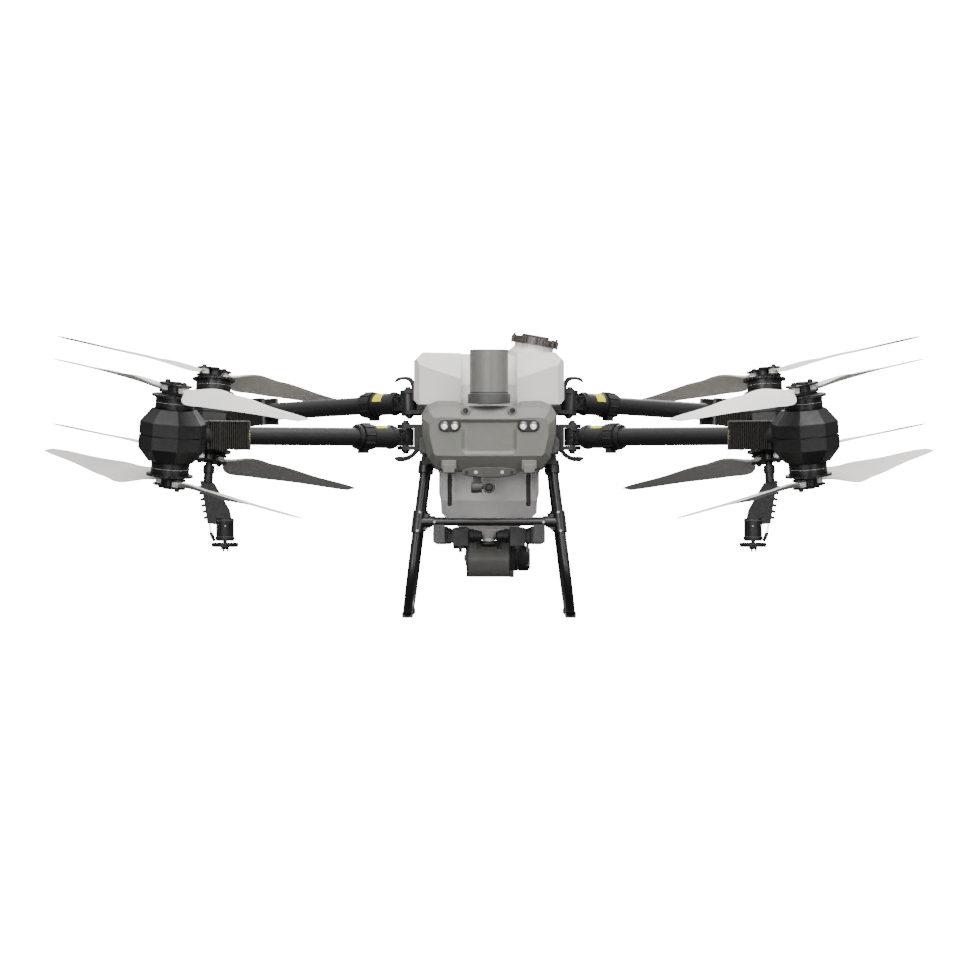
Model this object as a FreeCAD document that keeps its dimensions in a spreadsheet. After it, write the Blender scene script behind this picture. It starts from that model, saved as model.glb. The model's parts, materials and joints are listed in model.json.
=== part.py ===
import FreeCAD, Part
import math
import os

import Sketcher

# Agricultural spray drone, millimetres. The nose faces -Y, +Z is up, and the
# origin is on the ground under the middle of the aircraft.

doc = FreeCAD.newDocument("SprayDrone")
sheet = doc.addObject("Spreadsheet::Sheet", "Dimensions")

DIMENSIONS = [
    ("front_motor_x", 847), ("front_motor_y", -657), ("front_motor_z", 500),
    ("rear_motor_x", 820), ("rear_motor_y", 743), ("rear_motor_z", 574),
    ("hinge_x", 230), ("front_hinge_y", -226), ("front_hinge_z", 500),
    ("rear_hinge_y", 312), ("rear_hinge_z", 604),
    ("rear_fold_rise", 10), ("rear_fold_turn", 126), ("rotor_cant", 7.8),
    ("arm_radius", 25), ("arm_bore", 23), ("arm_fit", 25.1), ("sleeve_radius", 31),
    ("sleeve_start", 40), ("sleeve_length", 126), ("neck_width", 36), ("neck_height", 40),
    ("knuckle_radius", 22), ("knuckle_height", 48), ("pin_radius", 8), ("pin_bore", 8.1),
    ("lug_radius", 24), ("lug_thickness", 11), ("lug_reach", 80), ("lug_gap", 49),
    ("lock_radius", 37), ("lock_bore", 31.5), ("lock_width", 30), ("lock_x", 122),
    ("pod_radius", 84), ("pod_height", 142), ("pod_neck", 57), ("pod_facets", 8),
    ("shaft_bore", 14), ("shaft_radius", 13), ("stator_radius", 44), ("stator_height", 23),
    ("bell_radius", 51.5), ("bell_bore", 47), ("bell_base", 73), ("bell_height", 31),
    ("flange_radius", 63), ("flange_base", 104), ("flange_thickness", 6),
    ("flange_teeth", 24), ("tooth_radius", 3.6), ("hub_radius", 22), ("hub_height", 3),
    ("clamp_thickness", 5), ("clamp_half_width", 22), ("clamp_gap", 16), ("blade_pin_offset", 45),
    ("blade_pin_radius", 4), ("blade_pin_bore", 4.3), ("cap_radius", 16), ("cap_height", 5),
    ("rotor_radius", 686), ("blade_root_radius", 15), ("blade_root_height", 14),
    ("esc_length", 86), ("esc_height", 72), ("esc_half_width", 34), ("esc_core", 28.5),
    ("esc_fins", 13), ("esc_frame", 5), ("esc_gap", 130),
    ("tank_wall", 4), ("tank_front", -205), ("tank_rear", 235), ("tank_top", 739),
    ("saddle_base", 591), ("saddle_half", 208), ("belly_z", 237), ("belly_half", 139),
    ("neck_x", 129), ("neck_y", 20), ("neck_tilt", 10), ("neck_radius", 55), ("neck_bore", 50),
    ("neck_rise", 30), ("lid_ring_radius", 61), ("lid_ring_height", 20),
    ("nose_front", -347), ("nose_rear", -208), ("nose_wall", 3), ("nose_inset", 20),
    ("radome_y", -277), ("radome_base_z", 592), ("radome_base_radius", 58),
    ("radome_base_height", 26), ("radome_radius", 53), ("radome_height", 122), ("radome_wall", 3),
    ("beam_x", 152), ("beam_width", 12), ("beam_height", 50), ("beam_z", 495),
    ("beam_front", -300), ("beam_rear", 452),
    ("battery_half", 134), ("battery_front", 262), ("battery_rear", 446), ("battery_base", 412),
    ("battery_height", 270), ("bay_wall", 8), ("bay_height", 150),
    ("gear_radius", 12.5), ("gear_bore", 10.5), ("gear_bend", 130), ("gear_foot_x", 226),
    ("gear_splay", 7), ("gear_skid_z", 15.4), ("gear_top", 455), ("gear_front", -320),
    ("gear_rear", 400), ("gear_rake", 70), ("pad_length", 90), ("pad_width", 28), ("pad_height", 16),
    ("tee_z", 266), ("tee_radius", 17), ("tee_length", 60), ("crossbar_radius", 10.5),
    ("lower_radar_y", 150), ("lower_radar_z", 159), ("lower_radar_radius", 52),
    ("lower_radar_length", 118), ("lance_post_radius", 11), ("lance_drop", 158), ("lance_collar", 22),
    ("lance_can_radius", 26.5), ("lance_disc_radius", 39), ("camera_y", -335), ("camera_z", 361),
    ("origin_shift", -30.2), ("tank_seam", 600), ("socket_radius", 18.3), ("cup_radius", 18),
]

for row, (alias, value) in enumerate(DIMENSIONS, start=1):
    sheet.set("A%d" % row, alias)
    sheet.set("B%d" % row, str(value))
    sheet.setAlias("B%d" % row, alias)
doc.recompute()


def size(name):
    """The sheet's value for an alias, or the number itself."""
    return float(getattr(sheet, name)) if isinstance(name, str) else float(name)


def vec(x, y, z):
    return FreeCAD.Vector(x, y, z)


def turned(axis, degrees, at=(0, 0, 0)):
    """A placement: turned about a direction through the origin, then moved."""
    return FreeCAD.Placement(vec(*at), FreeCAD.Rotation(vec(*axis), degrees))


def bind(item, prop, value):
    """Binds a property to a cell when the value is an alias."""
    if isinstance(value, str):
        item.setExpression(prop, "Dimensions." + value)
    whole_number = isinstance(getattr(item, prop), int)
    setattr(item, prop, int(size(value)) if whole_number else size(value))


def solid(kind, name, place, **sizes):
    item = doc.addObject("Part::" + kind, name)
    for prop, value in sizes.items():
        bind(item, prop, value)
    item.Placement = place
    return item


def block(name, centre, length, width, height, turn=None):
    """A box by its centre and its size along X, Y and Z."""
    rotation = turn.Rotation if turn else FreeCAD.Rotation()
    half = vec(size(length) / 2, size(width) / 2, size(height) / 2)
    place = FreeCAD.Placement(vec(*centre) - rotation.multVec(half), rotation)
    return solid("Box", name, place, Length=length, Width=width, Height=height)


def rod(name, base, direction, radius, height):
    """A cylinder from a base point along a direction."""
    rotation = FreeCAD.Rotation(vec(0, 0, 1), vec(*direction))
    return solid("Cylinder", name, FreeCAD.Placement(vec(*base), rotation), Radius=radius, Height=height)


def join(name, *items):
    item = doc.addObject("Part::MultiFuse", name)
    item.Shapes = list(items)
    return item


def carve(name, base, *tools):
    item = doc.addObject("Part::Cut", name)
    item.Base = base
    item.Tool = tools[0] if len(tools) == 1 else join(name + "_tools", *tools)
    return item


def group(name, place, *items):
    item = doc.addObject("Part::Compound", name)
    item.Links = list(items)
    item.Placement = place
    return item


def feature(name, shape, place=None):
    item = doc.addObject("Part::Feature", name)
    item.Shape = shape
    item.Placement = place or FreeCAD.Placement()
    return item


NODES = []


def node(name, *items, place=None):
    """Collects one sub-part's solids under its Label, moved so that the origin is mid-aircraft."""
    shift = turned((0, 0, 1), 0, (0, size("origin_shift"), 0))
    item = group("node_" + name, shift * (place or FreeCAD.Placement()), *items)
    item.Label = name
    NODES.append(item)
    return item


def prism(points, direction):
    """A straight prism on a closed outline of points."""
    outline = Part.makePolygon([vec(*p) for p in points] + [vec(*points[0])])
    return Part.Face(outline).extrude(vec(*direction))


def mirrored_outline(half, y):
    """An outline in the XZ plane at y, from the points of its right half."""
    right = [(x, y, z) for x, z in half]
    left = [(-x, y, z) for x, z in reversed(half)]
    return right + left


# ---------------------------------------------------------------- arm frames

UP = vec(0, 0, 1)


def frame_from(origin, x_axis, z_axis):
    """A placement with local X along x_axis and local Z as near z_axis as it can be."""
    return FreeCAD.Placement(vec(*origin), FreeCAD.Rotation(x_axis, vec(0, 0, 0), z_axis, "XZY"))


class Arm:
    """The places and directions of one of the four arms."""

    def __init__(self, end, side):
        self.name = end + ("_right" if side > 0 else "_left")
        self.side = side
        self.end = end
        self.hinge = vec(side * size("hinge_x"), size(end + "_hinge_y"), size(end + "_hinge_z"))
        motor = vec(side * size("front_motor_x"), size("front_motor_y"), size("front_motor_z"))
        if end == "rear":
            motor = vec(side * size("rear_motor_x"), size("rear_motor_y"), size("rear_motor_z"))
        along = motor - self.hinge
        self.length = along.Length
        self.along = along.normalize()
        self.frame = frame_from(self.hinge, self.along, UP)
        cant = size("rotor_cant") * side * (1 if end == "front" else -1)
        self.pod = self.frame * turned((1, 0, 0), cant, (self.length, 0, 0))
        self.pod_up = self.pod.Rotation.multVec(UP)
        self.axis = self.hinge_axis()

    def hinge_axis(self):
        """Upright in front; the rear arms rise as they fold, so their pins lean."""
        if self.end == "front":
            return vec(0, 0, 1)
        rest = math.atan2(self.along.y, self.side * self.along.x)
        folded = rest - math.radians(size("rear_fold_turn"))
        rise = math.radians(size("rear_fold_rise"))
        flat = math.cos(rise)
        stowed = vec(self.side * math.cos(folded) * flat, math.sin(folded) * flat, math.sin(rise))
        travel = stowed - self.along
        return (UP - travel * (UP.dot(travel) / travel.dot(travel))).normalize()


ARMS = [Arm(end, side) for end in ("front", "rear") for side in (-1, 1)]


# ---------------------------------------------------------------- rotor parts

def stadium(name, z, thickness):
    """A flat clamp plate with round ends over both blade pins."""
    offset = size("blade_pin_offset")
    middle = block(name + "_bar", (0, 0, z + size(thickness) / 2), 2 * offset,
                   2 * size("clamp_half_width"), thickness)
    ends = [rod("%s_end%d" % (name, i), (x, 0, z), (0, 0, 1), "clamp_half_width", thickness)
            for i, x in enumerate((-offset, offset))]
    return join(name, middle, *ends)


def toothed_flange():
    """The motor's top flange: a disc with round notches cut into its rim."""
    body = doc.addObject("PartDesign::Body", "toothed_flange")
    plane = [f for f in body.Origin.OriginFeatures if f.Role == "XY_Plane"][0]
    disc = body.newObject("Sketcher::SketchObject", "flange_disc")
    disc.AttachmentSupport = (plane, [""])
    disc.MapMode = "FlatFace"
    disc.addGeometry(Part.Circle(vec(0, 0, 0), UP, size("flange_radius")), False)
    disc.addConstraint(Sketcher.Constraint("Radius", 0, size("flange_radius")))
    disc.setExpression("Constraints[0]", "Dimensions.flange_radius")
    pad = body.newObject("PartDesign::Pad", "flange_pad")
    pad.Profile = disc
    bind(pad, "Length", "flange_thickness")
    doc.recompute()
    notch = body.newObject("Sketcher::SketchObject", "flange_notch")
    notch.AttachmentSupport = (plane, [""])
    notch.MapMode = "FlatFace"
    notch.addGeometry(Part.Circle(vec(size("flange_radius"), 0, 0), UP, size("tooth_radius")), False)
    notch.addConstraint(Sketcher.Constraint("Radius", 0, size("tooth_radius")))
    notch.setExpression("Constraints[0]", "Dimensions.tooth_radius")
    pocket = body.newObject("PartDesign::Pocket", "flange_pocket")
    pocket.Profile = notch
    pocket.Type = "ThroughAll"
    pocket.Reversed = True
    doc.recompute()
    pattern = body.newObject("PartDesign::PolarPattern", "flange_pattern")
    pattern.Originals = [pocket]
    pattern.Axis = (notch, ["N_Axis"])
    pattern.Angle = 360
    bind(pattern, "Occurrences", "flange_teeth")
    body.Tip = pattern
    doc.recompute()
    body.Placement = turned((0, 0, 1), 0, (0, 0, size("flange_base")))
    return body


BLADE_PLANE = (size("flange_base") + size("flange_thickness") + size("hub_height")
               + size("clamp_thickness") + size("clamp_gap") / 2)


def rotor_parts():
    """Bell, flange, hub and blade clamp, bored for the shaft, in the pod's frame."""
    base = size("bell_base")
    top = size("flange_base") + size("flange_thickness")
    bell = carve("bell", rod("bell_skin", (0, 0, base), (0, 0, 1), "bell_radius", "bell_height"),
                 rod("bell_void", (0, 0, base), (0, 0, 1), "bell_bore", size("bell_height") - 8))
    clamp = top + size("hub_height")
    hub = rod("hub", (0, 0, top), (0, 0, 1), "hub_radius", "hub_height")
    lower = stadium("clamp_lower", clamp, "clamp_thickness")
    spacer = rod("clamp_spacer", (0, 0, clamp + size("clamp_thickness")), (0, 0, 1),
                 "hub_radius", "clamp_gap")
    upper = stadium("clamp_upper", clamp + size("clamp_thickness") + size("clamp_gap"), "clamp_thickness")
    pins = [rod("blade_pin%d" % i, (x, 0, clamp), (0, 0, 1), "blade_pin_radius",
                size("clamp_gap") + 2 * size("clamp_thickness") + 4)
            for i, x in enumerate((-size("blade_pin_offset"), size("blade_pin_offset")))]
    clamp_top = clamp + size("clamp_gap") + 2 * size("clamp_thickness")
    heads = [rod("pin_head%d" % i, (x, 0, clamp_top), (0, 0, 1), 7, 4)
             for i, x in enumerate((-size("blade_pin_offset"), size("blade_pin_offset")))]
    whole = join("rotor_whole", bell, toothed_flange(), hub, lower, spacer, upper, *(pins + heads))
    bore = rod("rotor_bore", (0, 0, base - 1), (0, 0, 1), "shaft_radius", 120)
    core = carve("rotor_core", whole, bore)
    shaft_base = 24
    shaft = rod("rotor_shaft", (0, 0, shaft_base), (0, 0, 1), "shaft_radius", clamp_top - shaft_base)
    cap = rod("rotor_cap", (0, 0, clamp_top), (0, 0, 1), "cap_radius", "cap_height")
    return core, join("shaft_and_cap", shaft, cap)


def airfoil(x, chord, thick, twist, nose=0.42, camber=0.03):
    """A closed blade section at a station, nose towards +Y, turned by its twist."""
    steps = [0.0, 0.04, 0.15, 0.35, 0.6, 0.82, 1.0]
    angle = math.radians(twist)

    def point(t, side):
        fullness = 1.6 * (math.sqrt(t) * (1 - t) + 0.35 * t * (1 - t))
        bow = camber * chord * 4 * t * (1 - t)
        y = (nose - t) * chord
        z = bow + side * thick * 0.5 * fullness * 1.25
        return vec(x, y * math.cos(angle) - z * math.sin(angle), y * math.sin(angle) + z * math.cos(angle))

    over = Part.BSplineCurve()
    over.interpolate([point(t, 1) for t in steps])
    under = Part.BSplineCurve()
    under.interpolate([point(t, -1) for t in reversed(steps)])
    return Part.Wire([over.toShape(), under.toShape()])


def blade_shape(sense):
    """One folding blade with its root knuckle on the origin and its span along +X."""
    reach = size("rotor_radius") - size("blade_pin_offset")
    stations = [
        (8, 30, 11, 0, 0.5), (30, 34, 12, 2, 0.5), (62, 74, 13, 15, 0.45), (125, 118, 11, 20, 0.42),
        (230, 108, 9, 17, 0.42), (360, 88, 7, 13.5, 0.42), (500, 66, 5, 10.5, 0.42),
        (600, 50, 3.6, 8.6, 0.42), (reach - 4, 34, 2.2, 8, 0.36),
    ]
    skin = Part.makeLoft([airfoil(x, c, t, w, n) for x, c, t, w, n in stations], True, False)
    root = size("blade_root_height")
    knuckle = Part.makeCylinder(size("blade_root_radius"), root, vec(0, 0, -root / 2))
    whole = knuckle.fuse(skin).removeSplitter()
    bore = Part.makeCylinder(size("blade_pin_bore"), 2 * root, vec(0, 0, -root))
    shape = whole.cut(bore)
    if sense < 0:
        shape = shape.mirror(vec(0, 0, 0), vec(0, 1, 0))
    return Part.Solid(shape.Solids[0])


ROTOR_CORE, ROTOR_SHAFT = rotor_parts()
BLADES = {
    1: feature("blade_turning_left", blade_shape(1)),
    -1: feature("blade_turning_right", blade_shape(-1)),
}

# Seen from above, +1 turns anticlockwise; given for the left side and opposite on the right.
LEFT_SPIN = {("front", "upper"): 1, ("front", "lower"): -1, ("rear", "upper"): -1, ("rear", "lower"): -1}
# The compass direction of the left side's blade line at rest.
LEFT_BLADE_LINE = {"front": 123.0, "rear": 53.0}


def blade_line(arm):
    """The blade line in the pod's own frame, in degrees from its X axis."""
    bearing = LEFT_BLADE_LINE[arm.end]
    if arm.side > 0:
        bearing = 180 - bearing
    radians = math.radians(bearing)
    local = arm.pod.Rotation.inverted().multVec(vec(math.cos(radians), math.sin(radians), 0))
    return math.degrees(math.atan2(local.y, local.x))


def rotors(arm):
    """Two coaxial rotors, one above and one below the pod, with two blades each."""
    line = blade_line(arm)
    for level in ("upper", "lower"):
        name = arm.name + "_" + level
        flip = turned((1, 0, 0), 180) if level == "lower" else turned((1, 0, 0), 0)
        turn = turned((0, 0, 1), line)
        hollow = arm.end == "rear" and level == "lower"
        parts = [ROTOR_CORE] if hollow else [ROTOR_CORE, ROTOR_SHAFT]
        node("rotor_" + name, *parts, place=arm.pod * turn * flip)
        z = BLADE_PLANE if level == "upper" else -BLADE_PLANE
        sense = LEFT_SPIN[(arm.end, level)] * (1 if arm.side < 0 else -1)
        for index, half_turn in ((1, 0), (2, 180)):
            at = turned((0, 0, 1), line + half_turn) * turned((0, 0, 1), 0, (size("blade_pin_offset"), 0, z))
            node("blade_%s_%d" % (name, index), BLADES[sense], place=arm.pod * at)


# ---------------------------------------------------------------- motor pods and arms

def comb(length, core, half, height, fins):
    """A heat sink: a core with upright fins on both sides, as one outline raised."""
    pitch = length / fins
    upper = []
    for i in range(fins):
        x = i * pitch
        root = x + pitch * 0.45
        upper += [(x, half, 0), (root, half, 0), (root, core, 0), (x + pitch, core, 0)]
    upper[-1] = (length, core, 0)
    lower = [(x, -y, 0) for x, y, z in reversed(upper)]
    return prism(upper + lower, (0, 0, height))


def faceted_barrel():
    """Eight upright facets that draw in towards both motors."""
    half = size("pod_height") / 2
    facets = int(size("pod_facets"))
    across = 1 / math.cos(math.pi / facets)
    wires = []
    levels = (("pod_neck", -half), ("pod_radius", -half / 2), ("pod_radius", half / 2), ("pod_neck", half))
    for alias, z in levels:
        reach = size(alias) * across
        corners = []
        for i in range(facets):
            angle = 2 * math.pi * (i + 0.5) / facets
            corners.append(vec(reach * math.cos(angle), reach * math.sin(angle), z))
        wires.append(Part.makePolygon(corners + [corners[0]]))
    return Part.makeLoft(wires, True, True)


def motor_pod(arm):
    """Barrel with both stators, the arm socket and the speed controller's heat sink."""
    name = arm.name
    half = size("pod_height") / 2
    barrel = feature(name + "_barrel_blank", faceted_barrel())
    waist = carve(name + "_barrel_groove", barrel,
                  carve(name + "_groove_ring", rod(name + "_groove_out", (0, 0, -1.5), (0, 0, 1), 120, 3),
                        rod(name + "_groove_in", (0, 0, -1.5), (0, 0, 1), size("pod_radius") - 3, 3)))
    sleeve = rod(name + "_pod_sleeve", (-105, 0, 0), (1, 0, 0), size("arm_radius") + 9, 60)
    bores = [rod(name + "_bore_up", (0, 0, 20), (0, 0, 1), "shaft_bore", half),
             rod(name + "_bore_down", (0, 0, -20), (0, 0, -1), "shaft_bore", half),
             rod(name + "_tube_seat", (-106, 0, 0), (1, 0, 0), "arm_fit", 24)]
    barrel_solid = carve(name + "_barrel", join(name + "_barrel_join", waist, sleeve), *bores)
    stators = []
    for sign, tag in ((1, "up"), (-1, "down")):
        disc = rod(name + "_stator_" + tag, (0, 0, sign * half), (0, 0, sign),
                   "stator_radius", "stator_height")
        hole = rod(name + "_stator_bore_" + tag, (0, 0, sign * half), (0, 0, sign), "shaft_bore", 30)
        stators.append(carve(name + "_stator_ring_" + tag, disc, hole))
    rolled = group(name + "_pod_rolled", arm.frame.inverse() * arm.pod, barrel_solid, *stators)
    length = size("esc_length")
    start = arm.length - size("esc_gap") - length
    fins = comb(length, size("esc_core"), size("esc_half_width"), size("esc_height"), int(size("esc_fins")))
    sink = feature(name + "_sink_blank", fins, turned((0, 0, 1), 0, (start, 0, -size("esc_height") / 2)))
    seat = rod(name + "_sink_seat", (start - 1, 0, 0), (1, 0, 0), "arm_fit", length + 2)
    frames = []
    half_frame = size("esc_frame") / 2
    for tag, x in (("inner", start - half_frame), ("outer", start + length + half_frame)):
        plate = block(name + "_frame_" + tag, (x, 0, 0), "esc_frame", 2 * size("esc_half_width") + 4,
                      size("esc_height") + 4)
        hole = rod(name + "_frame_hole_" + tag, (x - 5, 0, 0), (1, 0, 0), "arm_fit", 10)
        frames.append(carve(name + "_frame_plate_" + tag, plate, hole))
    node("motor_pod_" + name, rolled, carve(name + "_heat_sink", sink, seat), *frames, place=arm.frame)


def arm_tube(arm):
    """Carbon tube with its root fitting: sleeve, neck and the hinge's knuckle."""
    name = arm.name
    start = size("sleeve_start") + 8
    length = arm.length - size("pod_radius") - 1 - start
    tube = carve(name + "_tube", rod(name + "_tube_skin", (start, 0, 0), (1, 0, 0), "arm_radius", length),
                 rod(name + "_tube_void", (start - 1, 0, 0), (1, 0, 0), "arm_bore", length + 2))
    axis = arm.frame.Rotation.inverted().multVec(arm.axis)
    tall = size("knuckle_height")
    low = axis * (-tall / 2)
    knuckle = rod(name + "_knuckle", tuple(low), tuple(axis), "knuckle_radius", "knuckle_height")
    tilt = FreeCAD.Placement(vec(0, 0, 0), FreeCAD.Rotation(vec(1, 0, 0), vec(0, 0, 0), axis, "ZXY"))
    neck = block(name + "_neck", (size("sleeve_start") / 2 + 5, 0, 0), size("sleeve_start") + 10,
                 "neck_width", "neck_height", tilt)
    sleeve = rod(name + "_sleeve", (size("sleeve_start"), 0, 0), (1, 0, 0), "sleeve_radius", "sleeve_length")
    collars = [rod("%s_rib%d" % (name, i), (x, 0, 0), (1, 0, 0), size("sleeve_radius") + 3, 8)
               for i, x in enumerate((size("sleeve_start") + 8, size("lock_x") - 12, size("lock_x") + 34))]
    seat = rod(name + "_sleeve_seat", (start, 0, 0), (1, 0, 0), "arm_fit", size("sleeve_length") + 20)
    bore = rod(name + "_knuckle_bore", tuple(axis * -60), tuple(axis), "pin_bore", 120)
    fitting = carve(name + "_root_fitting", join(name + "_root", knuckle, neck, sleeve, *collars), seat, bore)
    node("arm_tube_" + name, tube, fitting, place=arm.frame)


def arm_lock(arm):
    """The turning collar that locks the opened arm, with its finger lever."""
    name = arm.name
    x = size("lock_x")
    ring = rod(name + "_lock_ring", (x, 0, 0), (1, 0, 0), "lock_radius", "lock_width")
    lever = block(name + "_lock_lever", (x + 12, -10, -38), 20, 26, 14)
    ribs = []
    for i in range(10):
        angle = math.radians(36 * i + 8)
        at = (x + size("lock_width") / 2, 37 * math.cos(angle), 37 * math.sin(angle))
        ribs.append(rod("%s_lock_rib%d" % (name, i), (x, at[1], at[2]), (1, 0, 0), 2.2, "lock_width"))
    bore = rod(name + "_lock_bore", (x - 1, 0, 0), (1, 0, 0), "lock_bore", size("lock_width") + 2)
    node("arm_lock_" + name, carve(name + "_lock", join(name + "_lock_join", ring, lever, *ribs), bore),
         place=arm.frame)


def hinge_bracket(arm):
    """Two lugs on the frame with the upright pin between them."""
    name = arm.name
    inward = vec(-arm.side, 0, 0)
    frame = FreeCAD.Placement(arm.hinge, FreeCAD.Rotation(inward, vec(0, 0, 0), arm.axis, "ZXY"))
    gap = size("lug_gap") / 2
    thick = size("lug_thickness")
    reach = size("lug_reach")
    lugs = []
    for sign, tag in ((1, "top"), (-1, "bottom")):
        z = sign * (gap + thick / 2)
        plate = block(name + "_lug_" + tag, (reach / 2, 0, z), reach, 2 * size("lug_radius"), thick)
        eye = rod(name + "_lug_eye_" + tag, (0, 0, z - thick / 2), (0, 0, 1), "lug_radius", thick)
        lugs += [plate, eye]
    web = block(name + "_web", (reach - 16, 0, 0), 32, 2 * size("lug_radius"), 2 * gap + 2 * thick)
    ribs = [block("%s_web_rib%d" % (name, i), (reach - 44, y, 0), 24, 5, 2 * gap + 1)
            for i, y in enumerate((-21.5, 21.5))]
    hole = rod(name + "_lug_hole", (0, 0, -60), (0, 0, 1), "pin_radius", 120)
    bracket = carve(name + "_bracket", join(name + "_bracket_join", web, *(lugs + ribs)), hole)
    tall = 2 * (gap + thick)
    pin = rod(name + "_pin", (0, 0, -tall / 2), (0, 0, 1), "pin_radius", tall)
    heads = [rod("%s_pin_head%d" % (name, i), (0, 0, z), (0, 0, 1), 12, 5)
             for i, z in enumerate((tall / 2, -tall / 2 - 5))]
    return group(name + "_hinge", frame, bracket, join(name + "_hinge_pin", pin, *heads))


# ---------------------------------------------------------------- spray lances

def spray_lance(arm):
    """A fixed post through the hollow lower rotor carries the fairing and the nozzle motor."""
    side = arm.side
    down = arm.pod_up * -1
    centre = arm.pod.Base

    def along(distance):
        return tuple(centre + down * distance)

    drop = size("lance_drop")
    end = centre + down * drop
    pole = rod(arm.name + "_post", along(20), tuple(down), "lance_post_radius", drop - 12)
    collar_top = along(drop + 13 - size("lance_collar"))
    collar = rod(arm.name + "_collar", collar_top, tuple(down), 17, "lance_collar")
    lower_collar = rod(arm.name + "_lower_collar", along(drop + 12), tuple(down), 14, 30)
    outline = [(26, -36), (-3, -35), (-17, -44), (-62, -122),
               (-68, -150), (-24, -166), (4, -162), (13, -100)]
    blade = prism([(end.x + side * x, end.y - 11, end.z + z) for x, z in outline], (0, 14, 0))
    fairing = feature(arm.name + "_fairing", blade)
    fins = []
    for i in range(6):
        t = (i + 0.5) / 6
        at = (end.x + side * (27 - 20 * t), end.y - 4, end.z - 46 - 108 * t)
        fins.append(block("%s_serration%d" % (arm.name, i), at, 12, 14, 8, turned((0, 1, 0), 12 * side)))
    can_x = end.x - side * 48
    can = rod(arm.name + "_can", (can_x, end.y - 4, end.z - 214), (0, 0, 1), "lance_can_radius", 67)
    skirt = rod(arm.name + "_can_skirt", (can_x, end.y - 4, end.z - 210), (0, 0, 1), 29, 7)
    stem = rod(arm.name + "_stem", (can_x, end.y - 4, end.z - 234), (0, 0, 1), 6, 30)
    solid_lance = join(arm.name + "_lance_join", pole, collar, lower_collar, fairing,
                       can, skirt, stem, *fins)
    node("spray_lance_" + arm.name.split("_")[1], solid_lance)
    disc = rod(arm.name + "_disc", (can_x, end.y - 4, end.z - 232), (0, 0, 1), "lance_disc_radius", 13)
    lip_radius = size("lance_disc_radius") + 2
    lip = rod(arm.name + "_disc_lip", (can_x, end.y - 4, end.z - 226), (0, 0, 1), lip_radius, 4)
    boss = rod(arm.name + "_disc_boss", (can_x, end.y - 4, end.z - 239), (0, 0, 1), 12, 8)
    prongs = []
    for i in range(3):
        angle = math.radians(120 * i)
        at = (can_x + 8 * math.cos(angle), end.y - 4 + 8 * math.sin(angle), end.z - 246)
        prongs.append(rod("%s_prong%d" % (arm.name, i), at, (0, 0, 1), 2.5, 8))
    bore = rod(arm.name + "_disc_bore", (can_x, end.y - 4, end.z - 236), (0, 0, 1), 6.1, 30)
    node("spray_disc_" + arm.name.split("_")[1],
         carve(arm.name + "_disc_cut", join(arm.name + "_disc_join", disc, lip, boss, *prongs), bore))


# ---------------------------------------------------------------- central body

def side_rail(side, brackets):
    """One beam with its tower, pads and seats, cut out for the brackets and the legs."""
    tag = "right" if side > 0 else "left"
    front = size("beam_front")
    rear = size("beam_rear")
    x = side * size("beam_x")
    z = size("beam_z")
    parts = [
        block("beam_" + tag, (x, (front + rear) / 2, z), "beam_width", rear - front, "beam_height"),
        block("tower_" + tag, (x, size("rear_hinge_y"), 560), "beam_width", 60, 170),
        block("corner_" + tag, (side * 171, front + 24, 476), 40, 46, 48),
        block("front_pad_" + tag, (x, size("front_hinge_y"), z + 5), "beam_width", 70, 84),
        block("leg_seat_front_" + tag, (side * 168, -256, 448), 34, 40, 46),
        block("leg_seat_rear_" + tag, (side * 168, 336, 448), 34, 40, 46),
        block("saddle_post_" + tag, (x, -140, 555), "beam_width", 60, 72),
        block("saddle_post_rear_" + tag, (x, 180, 555), "beam_width", 60, 72),
    ]
    sockets = []
    for i, (foot, end) in enumerate(leg_lines(side)):
        direction = (end - foot).normalize()
        low = tuple(end - direction * 70)
        sockets.append(rod("socket_%s%d" % (tag, i), low, tuple(direction), "socket_radius", 49))
        sockets.append(rod("tube_socket_%s%d" % (tag, i), low, tuple(direction), size("gear_radius") + 0.3, 72))
    return carve("rail_" + tag, join("rail_join_" + tag, *parts), *(brackets + sockets))


def center_frame(brackets):
    """Two side rails tied by the cross plates, the nose tray and its bar."""
    rails = [side_rail(side, brackets) for side in (-1, 1)]
    inner = 2 * size("beam_x") - size("beam_width")
    front_cross = block("front_cross", (0, -200, 500), inner, 8, 92)
    rear_cross = block("rear_cross", (0, 244, 500), inner, 10, 110)
    tray = block("nose_tray", (0, -250, 446), inner - 28, 96, 6)
    bar = block("nose_bar", (0, -262, 456), inner, 24, 14)
    node("center_frame", *rails, front_cross, rear_cross, tray, bar)


def nose_points(inset, y):
    half = [(0, 588 - inset), (145 - inset, 590 - inset), (176 - inset, 583 - inset),
            (187 - inset, 560 - inset), (187 - inset, 515), (172 - inset, 440 + inset),
            (147 - inset, 409 + inset), (0, 405 + inset)]
    right = [(x, y, z) for x, z in half]
    left = [(-x, y, z) for x, z in reversed(half[1:-1])]
    return right + left


def nose_loft(inset, front_shift):
    """The nose's form: straight sides, then two drawn-in bands up to the flat face."""
    front = size("nose_front") + front_shift
    rear = size("nose_rear")
    sections = [(0, rear), (0, front + 46), (6, front + 18), (size("nose_inset"), front)]
    wires = []
    for extra, y in sections:
        points = [vec(*p) for p in nose_points(inset + extra, y)]
        wires.append(Part.makePolygon(points + [points[0]]))
    return Part.makeLoft(wires, True, True)


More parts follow.
